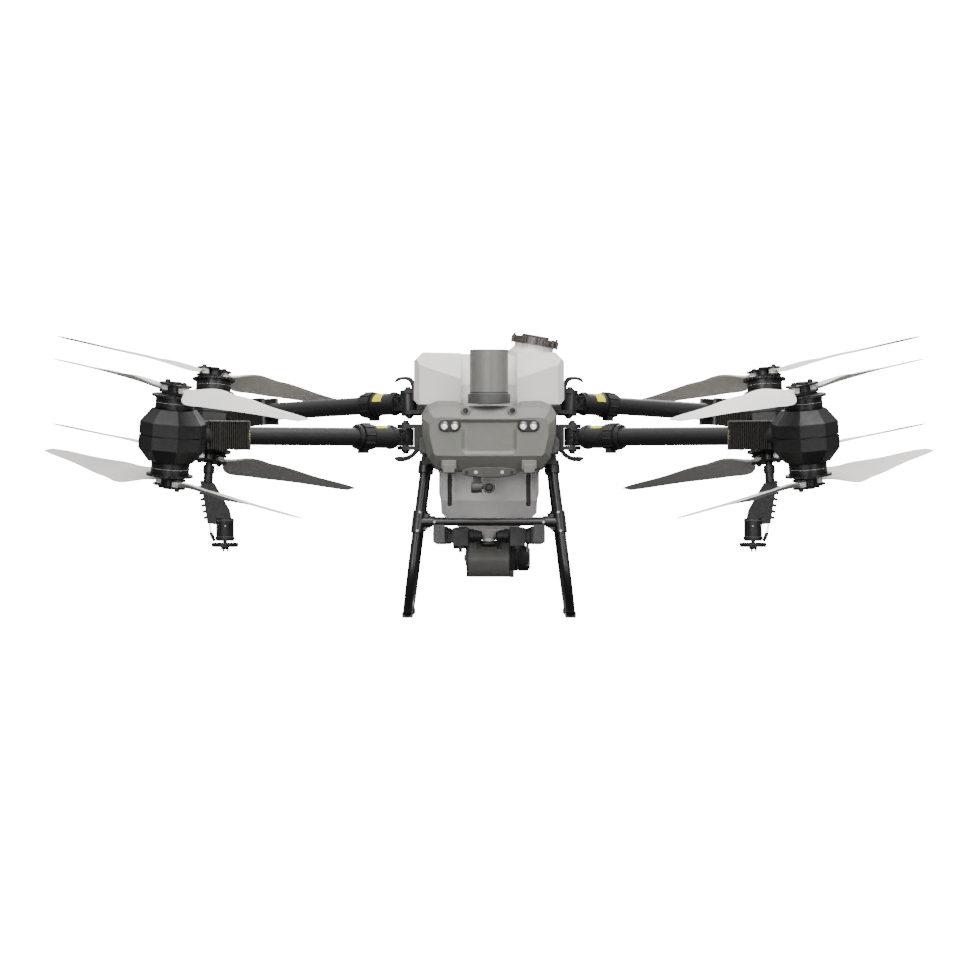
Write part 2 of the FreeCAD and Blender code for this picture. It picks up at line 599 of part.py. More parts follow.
def nose_shell():
    """The moulded nose: open behind, with side openings for the frame and a seat for the radome."""
    wall = size("nose_wall")
    front = size("nose_front")
    panel = Part.makeBox(118, 1.6, 107, vec(-59, front - 1, 439))
    rear_cut = Part.makeBox(420, 12, 260, vec(-210, size("nose_rear") - 8, 380))
    seat = Part.makeCylinder(40, 30, vec(0, size("radome_y"), 570))
    shape = nose_loft(0, 0).cut(nose_loft(wall, wall)).cut(panel).cut(rear_cut).cut(seat)
    for corner in (-200, 148):
        shape = shape.cut(Part.makeBox(52, 130, 140, vec(corner, front + 17, 400)))
    biggest = sorted(shape.Solids, key=lambda s: s.Volume)[-1]
    return feature("nose_shell_skin", biggest)


def tank_form(inset):
    """The tank without its neck: a wide saddle above and a deep belly below."""
    front = size("tank_front")
    rear = size("tank_rear")
    top = size("tank_top")
    base = size("saddle_base")
    half = size("saddle_half")
    belly = size("belly_half")
    low = size("belly_z")
    t = inset
    saddle_half = [(half - t, base + t), (half - t, top - 28), (half - 24 - t * 0.5, top - t)]
    upper = prism(mirrored_outline(saddle_half, front + t), (0, rear - front - 2 * t, 0))
    belly_half = [(belly - t, base + t + 1), (belly - t, 330), (belly - 12 - t, 308),
                  (belly - 34 - t, 266 + t), (56, low + t)]
    under = mirrored_outline(list(reversed(belly_half)), front + 20 + t)
    lower = prism(under, (0, rear - front - 35 - 2 * t, 0))
    form = upper.fuse(lower)
    depth = 62
    recess = [(-184 - t, front - 1, 0), (-78 - t, front + depth + t, 0), (78 + t, front + depth + t, 0),
              (184 + t, front - 1, 0)]
    notch = prism([(x, y, base - 4) for x, y, z in recess], (0, 0, 200))
    form = form.cut(notch)
    slope = prism([(-79, front + depth - 1 + t, top - 46 - t), (-79, front + depth - 1 + t, top + 9),
                   (-79, front + depth + 96 + t, top + 9)], (158, 0, 0))
    form = form.cut(slope)
    for side in (-1, 1):
        corner = Part.makePolygon([vec(side * 78, front + depth + t - 1, top - 46 - t),
                                   vec(side * 78, front + depth + 96 + t, top + 9),
                                   vec(side * 78, front + depth + t - 1, top + 9),
                                   vec(side * 78, front + depth + t - 1, top - 46 - t)])
        tip = vec(side * 196, front - 8, top + 3)
        form = form.cut(cone_to(corner, tip))
    return form.removeSplitter()


def cone_to(outline, tip):
    """A pyramid on a triangle, as a solid."""
    points = [v.Point for v in outline.OrderedVertexes][:3]
    faces = [Part.Face(outline)]
    for i in range(3):
        a, b = points[i], points[(i + 1) % 3]
        faces.append(Part.Face(Part.makePolygon([a, b, tip, a])))
    shell = Part.makeShell(faces)
    pyramid = Part.makeSolid(shell)
    if pyramid.Volume < 0:
        pyramid.reverse()
    return pyramid


NECK_TILT = math.radians(size("neck_tilt"))
NECK_AXIS = vec(math.sin(NECK_TILT), 0, math.cos(NECK_TILT))
NECK_BASE = vec(size("neck_x") - 8, size("neck_y"), size("tank_top") - 12)


def spray_tank():
    """A hollow tank with its tilted filler neck, welded from an upper and a lower moulding."""
    outer = tank_form(0)
    inner = tank_form(size("tank_wall"))
    rise = size("neck_rise") + 12
    flare = Part.makeCone(size("neck_radius") + 12, size("neck_radius"), 22, NECK_BASE, NECK_AXIS)
    tube = Part.makeCylinder(size("neck_radius"), rise, NECK_BASE, NECK_AXIS)
    bore = Part.makeCylinder(size("neck_bore"), rise + 30, NECK_BASE - NECK_AXIS * 20, NECK_AXIS)
    shape = outer.fuse(flare).fuse(tube).cut(inner).cut(bore)
    whole = sorted(shape.Solids, key=lambda s: s.Volume)[-1]
    seam = size("tank_seam")
    halves = []
    for tag, low in (("upper", seam), ("lower", seam - 1000)):
        slab = Part.makeBox(1000, 1000, 1000, vec(-500, -500, low))
        halves.append(feature("spray_tank_" + tag, whole.common(slab).Solids[0]))
    node("spray_tank", *halves)


def lid():
    """The screw ring and the smoked cap that plugs the neck."""
    tilt = FreeCAD.Placement(NECK_BASE, FreeCAD.Rotation(UP, NECK_AXIS))
    top = size("neck_rise") + 12
    ring_low = top - 8
    plug = rod("cap_plug", (0, 0, top - 12), (0, 0, 1), size("neck_bore") - 1, 12.5)
    plate = rod("cap_plate", (0, 0, top + 0.5), (0, 0, 1), size("neck_radius") + 0.5, 7)
    dome_place = turned((0, 0, 1), 0, (0, 0, top + 7.5))
    dome = solid("Cone", "cap_dome", dome_place, Radius1=46, Radius2=34, Height=5)
    bar = block("cap_bar", (0, 0, top + 16), 76, 12, 9)
    knob = rod("cap_knob", (0, 0, top + 7.5), (0, 0, 1), 11, 13)
    node("lid_cap", join("cap_join", plug, plate, dome, bar, knob), place=tilt)
    skin = rod("ring_skin", (0, 0, ring_low), (0, 0, 1), "lid_ring_radius", "lid_ring_height")
    lugs = []
    for i in range(8):
        angle = math.radians(45 * i + 10)
        at = (61 * math.cos(angle), 61 * math.sin(angle), ring_low)
        lugs.append(rod("ring_lug%d" % i, at, (0, 0, 1), 5, size("lid_ring_height") + 2))
    void = rod("ring_void", (0, 0, ring_low - 1), (0, 0, 1), size("neck_radius") + 1, 40)
    node("lid_ring", carve("ring_cut", join("ring_join", skin, *lugs), void), place=tilt)


def radomes():
    """The upright front radar can and the lying rear one, each with its turning antenna."""
    y = size("radome_y")
    z = size("radome_base_z")
    rise = size("radome_base_height")
    base = rod("radome_base_blank", (0, y, z), (0, 0, 1), "radome_base_radius", "radome_base_height")
    bore = rod("radome_base_bore", (0, y, z - 1), (0, 0, 1), 5.05, rise + 2)
    skin = rod("radome_skin", (0, y, z + rise), (0, 0, 1), "radome_radius", "radome_height")
    void = rod("radome_void", (0, y, z + rise - 1), (0, 0, 1), size("radome_radius") - size("radome_wall"),
               size("radome_height") - size("radome_wall") + 1)
    spigot = rod("radome_spigot", (0, y, z + rise - 0.01), (0, 0, 1), 5.05, 1)
    node("front_radome", carve("radome_base", base, bore), carve("radome_can", skin, void, spigot))
    shaft = rod("antenna_shaft", (0, y, z + 2), (0, 0, 1), 5, rise + 20)
    hub = rod("antenna_hub", (0, y, z + rise + 4), (0, 0, 1), 20, 8)
    panel = block("antenna_panel", (0, y, z + rise + 60), 70, 8, 98)
    node("front_antenna", join("front_antenna_join", shaft, hub, panel))

    y = size("lower_radar_y")
    z = size("lower_radar_z")
    half = size("lower_radar_length") / 2
    can = rod("lower_can_skin", (-half, y, z), (1, 0, 0), "lower_radar_radius", "lower_radar_length")
    hollow = rod("lower_can_void", (-half + 3, y, z), (1, 0, 0), size("lower_radar_radius") - 3, 2 * half - 3)
    ring_skin = rod("lower_ring", (half, y, z), (1, 0, 0), size("lower_radar_radius") + 1, 12)
    ring = carve("lower_ring_cut", ring_skin, rod("lower_ring_bore", (half - 1, y, z), (1, 0, 0), 5.05, 14))
    motor = carve("lower_motor_cut", rod("lower_motor", (half + 12, y, z), (1, 0, 0), 33, 34),
                  rod("lower_motor_bore", (half + 11, y, z), (1, 0, 0), 5.05, 26))
    bracket_top = 231
    left_arm = -half - 4
    right_arm = half + 50
    arms = []
    for tag, x in (("left", left_arm), ("right", right_arm)):
        arms.append(block("lower_bracket_" + tag, (x, y, (z + bracket_top) / 2 - 6), 8, 60,
                          bracket_top - z + 26))
    plate = block("lower_bracket_plate", ((left_arm + right_arm) / 2, y, bracket_top + 0.5),
                  right_arm - left_arm + 12, 60, 9)
    bracket = join("lower_bracket", plate, *arms)
    node("rear_radome", carve("lower_can", can, hollow), ring, motor, bracket)
    shaft = rod("rear_antenna_shaft", (half + 30, y, z), (-1, 0, 0), 5, 46)
    hub = rod("rear_antenna_hub", (half - 4, y, z), (-1, 0, 0), 20, 8)
    panel = block("rear_antenna_panel", (0, y, z), 2 * half - 22, 8, 66)
    node("rear_antenna", join("rear_antenna_join", shaft, hub, panel))


def camera():
    """The first-person camera under the nose, tilting in its bracket."""
    y = size("camera_y")
    z = size("camera_z")
    plate = block("camera_plate", (0, y + 20, 401), 144, 26, 7)
    strut = block("camera_strut", (-32, y + 18, 382), 22, 12, 34)
    motor = carve("camera_motor_cut", rod("camera_motor", (-44, y, z), (1, 0, 0), 14, 24),
                  rod("camera_motor_bore", (-36, y, z), (1, 0, 0), 4.05, 20))
    link = block("camera_link", (-34, y + 14, z + 6), 18, 18, 22)
    rods = []
    for side in (-1, 1):
        rods.append(rod("hose_post_%d" % (side + 1), (side * 108, y + 25, 318), (0, 0, 1), 5, 88))
    mount = join("camera_mount", plate, strut, link)
    node("camera_bracket", carve("camera_mount_cut", mount,
                                 rod("camera_motor_seat", (-46, y, z), (1, 0, 0), 14, 28)), motor, *rods)
    ball = solid("Sphere", "camera_ball", turned((0, 0, 1), 0, (0, y, z)), Radius=16)
    lens = rod("camera_lens", (0, y - 10, z), (0, -1, 0), 8, 12)
    axle = rod("camera_axle", (-34, y, z), (1, 0, 0), 4, 30)
    node("gimbal_camera", join("gimbal_join", ball, lens, axle))


def vision_windows():
    """Black sensor windows on the nose's face, with two lenses in each."""
    y = size("nose_front")
    parts = []
    for side in (-1, 1):
        tag = "right" if side > 0 else "left"
        parts.append(block("window_" + tag, (side * 108, y - 2.5, 530), 59, 5, 32))
        for i, offset in enumerate((-15, 15)):
            parts.append(rod("lens_%s%d" % (tag, i), (side * 108 + offset, y - 5, 530), (0, -1, 0), 8.5, 2))
        parts.append(block("latch_" + tag, (side * 110, y + 14 - 3, 402), 34, 30, 6))
    return parts


def gear_corners(side):
    """The four corners of one skid's tube, from the front leg's top to the rear leg's."""
    splay = math.tan(math.radians(size("gear_splay")))
    low = size("gear_skid_z")
    top = size("gear_top")
    front, rear, rake = size("gear_front"), size("gear_rear"), size("gear_rake")
    corners = []
    for y, z in ((front + rake, top), (front, low), (rear, low), (rear - rake, top)):
        corners.append(vec(side * (size("gear_foot_x") - (z - low) * splay), y, z))
    return corners


def leg_lines(side):
    """Foot and top of the front leg and of the rear leg."""
    corners = gear_corners(side)
    return (corners[1], corners[0]), (corners[2], corners[3])


def landing_gear(side):
    """One skid: a tube bent into a wide U, two feet, tee sleeves and top sockets."""
    tag = "right" if side > 0 else "left"
    low = size("gear_skid_z")
    corners = gear_corners(side)
    path = rounded_path(corners, size("gear_bend"))
    tube = feature("gear_tube_" + tag, ring_sweep(path, corners, size("gear_radius"), size("gear_bore")))
    items = [tube]
    for i, y in enumerate((size("gear_front") + 160, size("gear_rear") - 160)):
        pad_middle = (side * size("gear_foot_x"), y, size("pad_height") / 2)
        pad = block("pad_%s%d" % (tag, i), pad_middle, "pad_width", "pad_length", "pad_height")
        seat = rod("pad_seat_%s%d" % (tag, i), (side * size("gear_foot_x"), y - 60, low), (0, 1, 0),
                   size("gear_radius") + 0.05, 120)
        items.append(carve("pad_cut_%s%d" % (tag, i), pad, seat))
    for i, (start, end) in enumerate(leg_lines(side)):
        direction = (end - start).normalize()
        at = start + direction * ((size("tee_z") - start.z) / direction.z)
        sleeve = rod("tee_%s%d" % (tag, i), tuple(at - direction * 30), tuple(direction),
                     "tee_radius", "tee_length")
        inward = rod("tee_arm_%s%d" % (tag, i), tuple(at), (-side, 0, 0), 14, 40)
        gusset = block("tee_gusset_%s%d" % (tag, i), (at.x - side * 16, at.y, at.z), 22, 6, 44)
        hole = rod("tee_hole_%s%d" % (tag, i), tuple(at - direction * 80), tuple(direction),
                   size("gear_radius") + 0.05, 160)
        socket = rod("tee_socket_%s%d" % (tag, i), (at.x - side * 20, at.y, at.z), (-side, 0, 0),
                     size("crossbar_radius") + 0.05, 60)
        tee = join("tee_join_%s%d" % (tag, i), sleeve, inward, gusset)
        items.append(carve("tee_cut_%s%d" % (tag, i), tee, hole, socket))
        up = end - direction * 56
        cup = rod("cup_%s%d" % (tag, i), tuple(up), tuple(direction), "cup_radius", 34)
        bore = rod("cup_bore_%s%d" % (tag, i), tuple(up - direction * 2), tuple(direction),
                   size("gear_radius") + 0.05, 80)
        items.append(carve("cup_cut_%s%d" % (tag, i), cup, bore))
        CROSSBAR_ENDS.append(at)
    node("landing_gear_" + tag, *items)


CROSSBAR_ENDS = []


def rounded_path(corners, radius):
    """Straight runs joined by arcs of one radius, tangent at both ends."""
    edges = []
    start = corners[0]
    for i in range(1, len(corners) - 1):
        before = (corners[i - 1] - corners[i]).normalize()
        after = (corners[i + 1] - corners[i]).normalize()
        half = before.getAngle(after) / 2
        reach = radius / math.tan(half)
        first = corners[i] + before * reach
        last = corners[i] + after * reach
        bisector = (before + after).normalize()
        centre = corners[i] + bisector * (radius / math.sin(half))
        middle = centre - bisector * radius
        edges.append(Part.makeLine(start, first))
        edges.append(Part.Arc(first, middle, last).toShape())
        start = last
    edges.append(Part.makeLine(start, corners[-1]))
    return Part.Wire(edges)


def ring_sweep(path, corners, outer, inner):
    """A tube along a path."""
    direction = (corners[1] - corners[0]).normalize()
    shapes = []
    for radius in (outer, inner):
        profile = Part.Wire(Part.makeCircle(radius, corners[0], direction))
        shapes.append(path.makePipeShell([profile], True, True))
    return shapes[0].cut(shapes[1])


def cross_tubes():
    """The tubes between the two skids, with the pump hangers."""
    items = []
    for i in range(2):
        left, right = CROSSBAR_ENDS[i], CROSSBAR_ENDS[i + 2]
        inset = 21
        items.append(rod("crossbar%d" % i, (left.x + inset, left.y, left.z), (1, 0, 0), "crossbar_radius",
                         right.x - left.x - 2 * inset))
    front = CROSSBAR_ENDS[0]
    for side in (-1, 1):
        tag = "right" if side > 0 else "left"
        hanger = block("hanger_" + tag, (side * 138, front.y + 22, 234), 32, 74, 50)
        hole = rod("hanger_hole_" + tag, (side * 138 - 30, front.y, front.z), (1, 0, 0),
                   size("crossbar_radius") + 0.05, 60)
        items.append(carve("hanger_cut_" + tag, hanger, hole))
    node("cross_tubes", *items)


def pumps():
    """Two impeller pumps, the outlet valve between them and its lower tabs."""
    items = []
    for side in (-1, 1):
        tag = "right" if side > 0 else "left"
        housing = block("pump_box_" + tag, (side * 79, -222, 225), 42, 56, 50)
        cover = rod("pump_cover_" + tag, (side * 79, -222, 200), (0, 0, -1), 20, 8)
        spout = rod("pump_spout_" + tag, (side * 79, -222, 192), (0, 0, -1), 5, 10)
        link = block("pump_link_" + tag, (side * 111, -222, 222), 22, 36, 24)
        items.append(join("pump_" + tag, housing, cover, spout, link))
    valve = block("valve_body", (-1, -150, 226), 48, 44, 22)
    nut = rod("valve_nut", (-1, -150, 217), (0, 0, -1), 17, 18)
    tabs = [block("valve_tab%d" % i, (x, -150, 206), 12, 12, 30) for i, x in enumerate((-28, 28))]
    items.append(join("valve", valve, nut, *tabs))
    node("pumps", *items)


def arm_clips():
    """Storage clips that hold the folded arm tubes along the body's sides."""
    items = []
    for side in (-1, 1):
        tag = "right" if side > 0 else "left"
        for level, x, z, stem_low in (("upper", 245, 634, 208), ("lower", 240, 475, 158)):
            place = turned((1, 0, 0), 90, (side * x, 52, z))
            arc = []
            for radius in (31, 26):
                name = "clip_%s_%s%d" % (level, tag, radius)
                arc.append(solid("Cylinder", name, place, Radius=radius, Height=24))
            ring = carve("clip_ring_%s_%s" % (level, tag), arc[0], arc[1])
            keep_z = z + (16 if level == "upper" else -16)
            keep = block("clip_half_%s_%s" % (level, tag), (side * x, 40, keep_z), 80, 40, 32)
            half = doc.addObject("Part::Common", "clip_arc_%s_%s" % (level, tag))
            half.Base = ring
            half.Tool = keep
            reach = x - 27 - stem_low
            stem_z = z + (5 if level == "upper" else -18)
            stem = block("clip_stem_%s_%s" % (level, tag), (side * (stem_low + reach / 2 + 1), 40, stem_z),
                         reach + 2, 24, 10)
            items.append(join("clip_%s_%s" % (level, tag), half, stem))
    node("arm_clips", *items)


def battery():
    """The battery block with its handle, and the bay that it slides down into."""
    half = size("battery_half")
    front, rear = size("battery_front"), size("battery_rear")
    low = size("battery_base")
    middle = (front + rear) / 2
    wall = size("bay_wall")
    tall = size("bay_height")
    outer = block("bay_outer", (0, middle, low - wall + tall / 2), 2 * (half + wall) + 7.9,
                  rear - front + 2 * wall + 4, tall)
    inner = block("bay_inner", (0, middle, low + tall / 2), 2 * half + 4, rear - front + 4, tall)
    pocket = carve("battery_bay_box", outer, inner)
    node("battery_bay", pocket)
    height = size("battery_height")
    case = block("battery_case", (0, middle, low + height / 2), 2 * half, rear - front, height)
    grip = block("battery_grip", (0, middle, low + height + 34), 120, 26, 14)
    ends = [block("battery_grip_end%d" % i, (x, middle, low + height + 20), 14, 26, 40)
            for i, x in enumerate((-53, 53))]
    plug = block("battery_plug", (90, middle, low + height + 8), 44, 60, 16)
    node("battery", join("battery_join", case, grip, plug, *ends))


# ---------------------------------------------------------------- assembly

for each in ARMS:
    arm_tube(each)
    motor_pod(each)
    arm_lock(each)
    rotors(each)
    if each.end == "rear":
        spray_lance(each)
BRACKETS = [hinge_bracket(each) for each in ARMS]
node("hinge_brackets", *BRACKETS)
center_frame(BRACKETS)
node("nose_shell", nose_shell())
spray_tank()
lid()
radomes()
camera()
node("vision_windows", *vision_windows())
for gear_side in (-1, 1):
    landing_gear(gear_side)
cross_tubes()
pumps()
arm_clips()
battery()
doc.recompute()

failed = [o.Name for o in doc.Objects if "Invalid" in o.State or "Error" in o.State]
if failed:
    raise RuntimeError("objects failed: " + ", ".join(failed))
for item in NODES:
    if item.Shape.isNull() or not item.Shape.isValid():
        raise RuntimeError("bad shape: " + item.Label)
    for piece in item.Shape.Solids:
        if piece.Volume <= 0:
            raise RuntimeError("inside-out solid: " + item.Label)

os.makedirs("parts", exist_ok=True)
for item in NODES:
    item.Shape.exportStep("parts/" + item.Label + ".step")
print(len(NODES), "sub-parts written")
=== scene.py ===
import json
import math

import bmesh
import bpy
from mathutils import Matrix, Vector


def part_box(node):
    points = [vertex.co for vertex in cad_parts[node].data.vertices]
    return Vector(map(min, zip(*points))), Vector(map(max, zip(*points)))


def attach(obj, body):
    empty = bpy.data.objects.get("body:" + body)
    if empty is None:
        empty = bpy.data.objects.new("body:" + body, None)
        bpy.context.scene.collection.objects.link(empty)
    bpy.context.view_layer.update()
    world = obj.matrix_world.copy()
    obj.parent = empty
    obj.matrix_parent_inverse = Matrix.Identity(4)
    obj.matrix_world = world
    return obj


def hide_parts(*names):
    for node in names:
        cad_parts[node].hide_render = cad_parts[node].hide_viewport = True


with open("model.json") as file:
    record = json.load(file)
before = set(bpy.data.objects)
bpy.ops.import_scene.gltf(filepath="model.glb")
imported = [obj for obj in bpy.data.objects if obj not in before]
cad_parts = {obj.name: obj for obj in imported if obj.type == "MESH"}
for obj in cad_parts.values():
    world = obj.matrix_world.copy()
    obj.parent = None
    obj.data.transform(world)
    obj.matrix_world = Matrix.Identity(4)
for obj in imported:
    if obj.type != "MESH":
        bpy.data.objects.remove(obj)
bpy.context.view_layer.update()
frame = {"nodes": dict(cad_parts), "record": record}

MM = 0.001
JOINTS = {joint["child"]: joint for joint in frame["record"]["behaviour"]["joints"]}
SIDES = ((-1, "left"), (1, "right"))
ARM_NAMES = [end + "_" + tag for end in ("front", "rear") for _, tag in SIDES]
FORWARD = (0, -1, 0)
UP = (0, 0, 1)
DOWN = (0, 0, -1)

# ------------------------------------------------------------------ materials


def nodes_of(material):
    """The node tree of a new material and its shader."""
    material.use_nodes = True
    tree = material.node_tree
    shader = tree.nodes["Principled BSDF"]
    return tree, shader


def link(tree, source, output, target, socket):
    tree.links.new(source.outputs[output], target.inputs[socket])


def scaled_noise(tree, scale, detail=3.0, rough=0.55, stretch=(1, 1, 1)):
    """Noise in object space, in cycles per metre."""
    place = tree.nodes.new("ShaderNodeTexCoord")
    mapping = tree.nodes.new("ShaderNodeMapping")
    mapping.inputs["Scale"].default_value = stretch
    noise = tree.nodes.new("ShaderNodeTexNoise")
    noise.inputs["Scale"].default_value = scale
    noise.inputs["Detail"].default_value = detail
    noise.inputs["Roughness"].default_value = rough
    link(tree, place, "Object", mapping, "Vector")
    link(tree, mapping, "Vector", noise, "Vector")
    return noise


def ramp(tree, source, output, low, high, low_at=0.3, high_at=0.7):
    """A two-colour ramp driven by a value."""
    item = tree.nodes.new("ShaderNodeValToRGB")
    item.color_ramp.elements[0].position = low_at
    item.color_ramp.elements[1].position = high_at
    item.color_ramp.elements[0].color = (*low, 1)
    item.color_ramp.elements[1].color = (*high, 1)
    link(tree, source, output, item, "Fac")
    return item


def value_ramp(tree, source, output, low, high, low_at=0.3, high_at=0.7):
    """The same between two grey values."""
    return ramp(tree, source, output, (low,) * 3, (high,) * 3, low_at, high_at)


def bumps(tree, shader, source, output, strength, distance):
    """Relief on the surface, up to a distance in metres."""
    bump = tree.nodes.new("ShaderNodeBump")
    bump.inputs["Strength"].default_value = strength
    bump.inputs["Distance"].default_value = distance
    link(tree, source, output, bump, "Height")
    link(tree, bump, "Normal", shader, "Normal")


def shade(color, factor):
    """A lighter or darker tone of a colour."""
    return tuple(min(1.0, c * factor) for c in color)


def moulded(name, color, rough=0.5, grain=900, depth=0.25, mottle=0.08, wear=0.0, coat=0.0):
    """Moulded or coated surface: fine grain, slow colour drift, dulled patches and rubbed edges."""
    material = bpy.data.materials.new(name)
    tree, shader = nodes_of(material)
    drift = scaled_noise(tree, 6.0, 4.0)
    tone = ramp(tree, drift, "Fac", shade(color, 1 - mottle), shade(color, 1 + mottle))
    last = tone
    if wear:
        geometry = tree.nodes.new("ShaderNodeNewGeometry")
        edge = value_ramp(tree, geometry, "Pointiness", 0.0, 1.0, 0.52, 0.6)
        patch = scaled_noise(tree, 90.0, 4.0)
        rub = tree.nodes.new("ShaderNodeMath")
        rub.operation = "MULTIPLY"
        link(tree, edge, "Color", rub, 0)
        link(tree, patch, "Fac", rub, 1)
        mix = tree.nodes.new("ShaderNodeMixRGB")
        mix.inputs["Color2"].default_value = (*shade(color, 1.0 + 6.0 * wear), 1)
        link(tree, rub, "Value", mix, "Fac")
        link(tree, tone, "Color", mix, "Color1")
        last = mix
    link(tree, last, "Color", shader, "Base Color")
    dull = scaled_noise(tree, 25.0, 5.0)
    gloss = value_ramp(tree, dull, "Fac", rough - 0.07, rough + 0.09)
    link(tree, gloss, "Color", shader, "Roughness")
    fine = scaled_noise(tree, grain, 2.0, 0.6)
    bumps(tree, shader, fine, "Fac", depth, distance=0.0004)
    if coat:
        shader.inputs["Coat Weight"].default_value = coat
        shader.inputs["Coat Roughness"].default_value = 0.15
    return material


TWILL_PITCH = 0.0035
TWILL_TURN = 45
TWILL_TILT = 20


def carbon(name, color):
    """Carbon tube: two crossed diagonal wave sets make the twill under satin lacquer."""
    material = bpy.data.materials.new(name)
    tree, shader = nodes_of(material)
    place = tree.nodes.new("ShaderNodeTexCoord")
    waves = []
    for turn in (TWILL_TURN, -TWILL_TURN):
        angles = (TWILL_TILT, turn, turn * 0.4)
        mapping = tree.nodes.new("ShaderNodeMapping")
        mapping.inputs["Rotation"].default_value = tuple(math.radians(angle) for angle in angles)
        wave = tree.nodes.new("ShaderNodeTexWave")
        wave.inputs["Scale"].default_value = 0.32 / TWILL_PITCH
        wave.inputs["Distortion"].default_value = 0.6
        link(tree, place, "Object", mapping, "Vector")
        link(tree, mapping, "Vector", wave, "Vector")
        waves.append(wave)
    cross = tree.nodes.new("ShaderNodeMath")
    cross.operation = "MULTIPLY"
    link(tree, waves[0], "Fac", cross, 0)
    link(tree, waves[1], "Fac", cross, 1)
    tone = ramp(tree, cross, "Value", shade(color, 0.7), shade(color, 1.7), 0.1, 0.8)
    link(tree, tone, "Color", shader, "Base Color")
    gloss = value_ramp(tree, cross, "Value", 0.34, 0.5, 0.0, 1.0)
    link(tree, gloss, "Color", shader, "Roughness")
    bumps(tree, shader, cross, "Value", 0.25, distance=0.0004)
    shader.inputs["Coat Weight"].default_value = 0.25
    shader.inputs["Coat Roughness"].default_value = 0.22
    return material


def metal(name, color, rough=0.35, grain=400, streak=(1, 1, 8), metallic=1.0):
    """Turned or coated metal with fine streaks."""
    material = bpy.data.materials.new(name)
    tree, shader = nodes_of(material)
    shader.inputs["Metallic"].default_value = metallic
    streaks = scaled_noise(tree, grain, 3.0, 0.6, streak)
    tone = ramp(tree, streaks, "Fac", shade(color, 0.85), shade(color, 1.1))
    link(tree, tone, "Color", shader, "Base Color")
    gloss = value_ramp(tree, streaks, "Fac", rough - 0.06, rough + 0.08)
    link(tree, gloss, "Color", shader, "Roughness")
    bumps(tree, shader, streaks, "Fac", 0.08, distance=0.0003)
    return material


def smoked(name, color):
    """Smoked translucent plastic with faint flow marks."""
    material = bpy.data.materials.new(name)
    tree, shader = nodes_of(material)
    flow = scaled_noise(tree, 30.0, 4.0, 0.5, (1, 1, 3))
    tone = ramp(tree, flow, "Fac", shade(color, 0.8), shade(color, 1.25))
    link(tree, tone, "Color", shader, "Base Color")
    gloss = value_ramp(tree, flow, "Fac", 0.14, 0.24)
    link(tree, gloss, "Color", shader, "Roughness")
    shader.inputs["Transmission Weight"].default_value = 0.35
    shader.inputs["IOR"].default_value = 1.49
    bumps(tree, shader, flow, "Fac", 0.05, distance=0.0006)
    return material


def glowing(name, color, strength):
    """A bright surface with a fine lens pattern: a lamp's core."""
    material = moulded(name, color, 0.2, 300, 0.2, 0.03)
    shader = material.node_tree.nodes["Principled BSDF"]
    shader.inputs["Emission Color"].default_value = (*color, 1)
    shader.inputs["Emission Strength"].default_value = strength
    return material


def clear(name, color):
    """A clear flexible pipe, slightly milky."""
    material = smoked(name, color)
    shader = material.node_tree.nodes["Principled BSDF"]
    shader.inputs["Transmission Weight"].default_value = 0.7
    return material


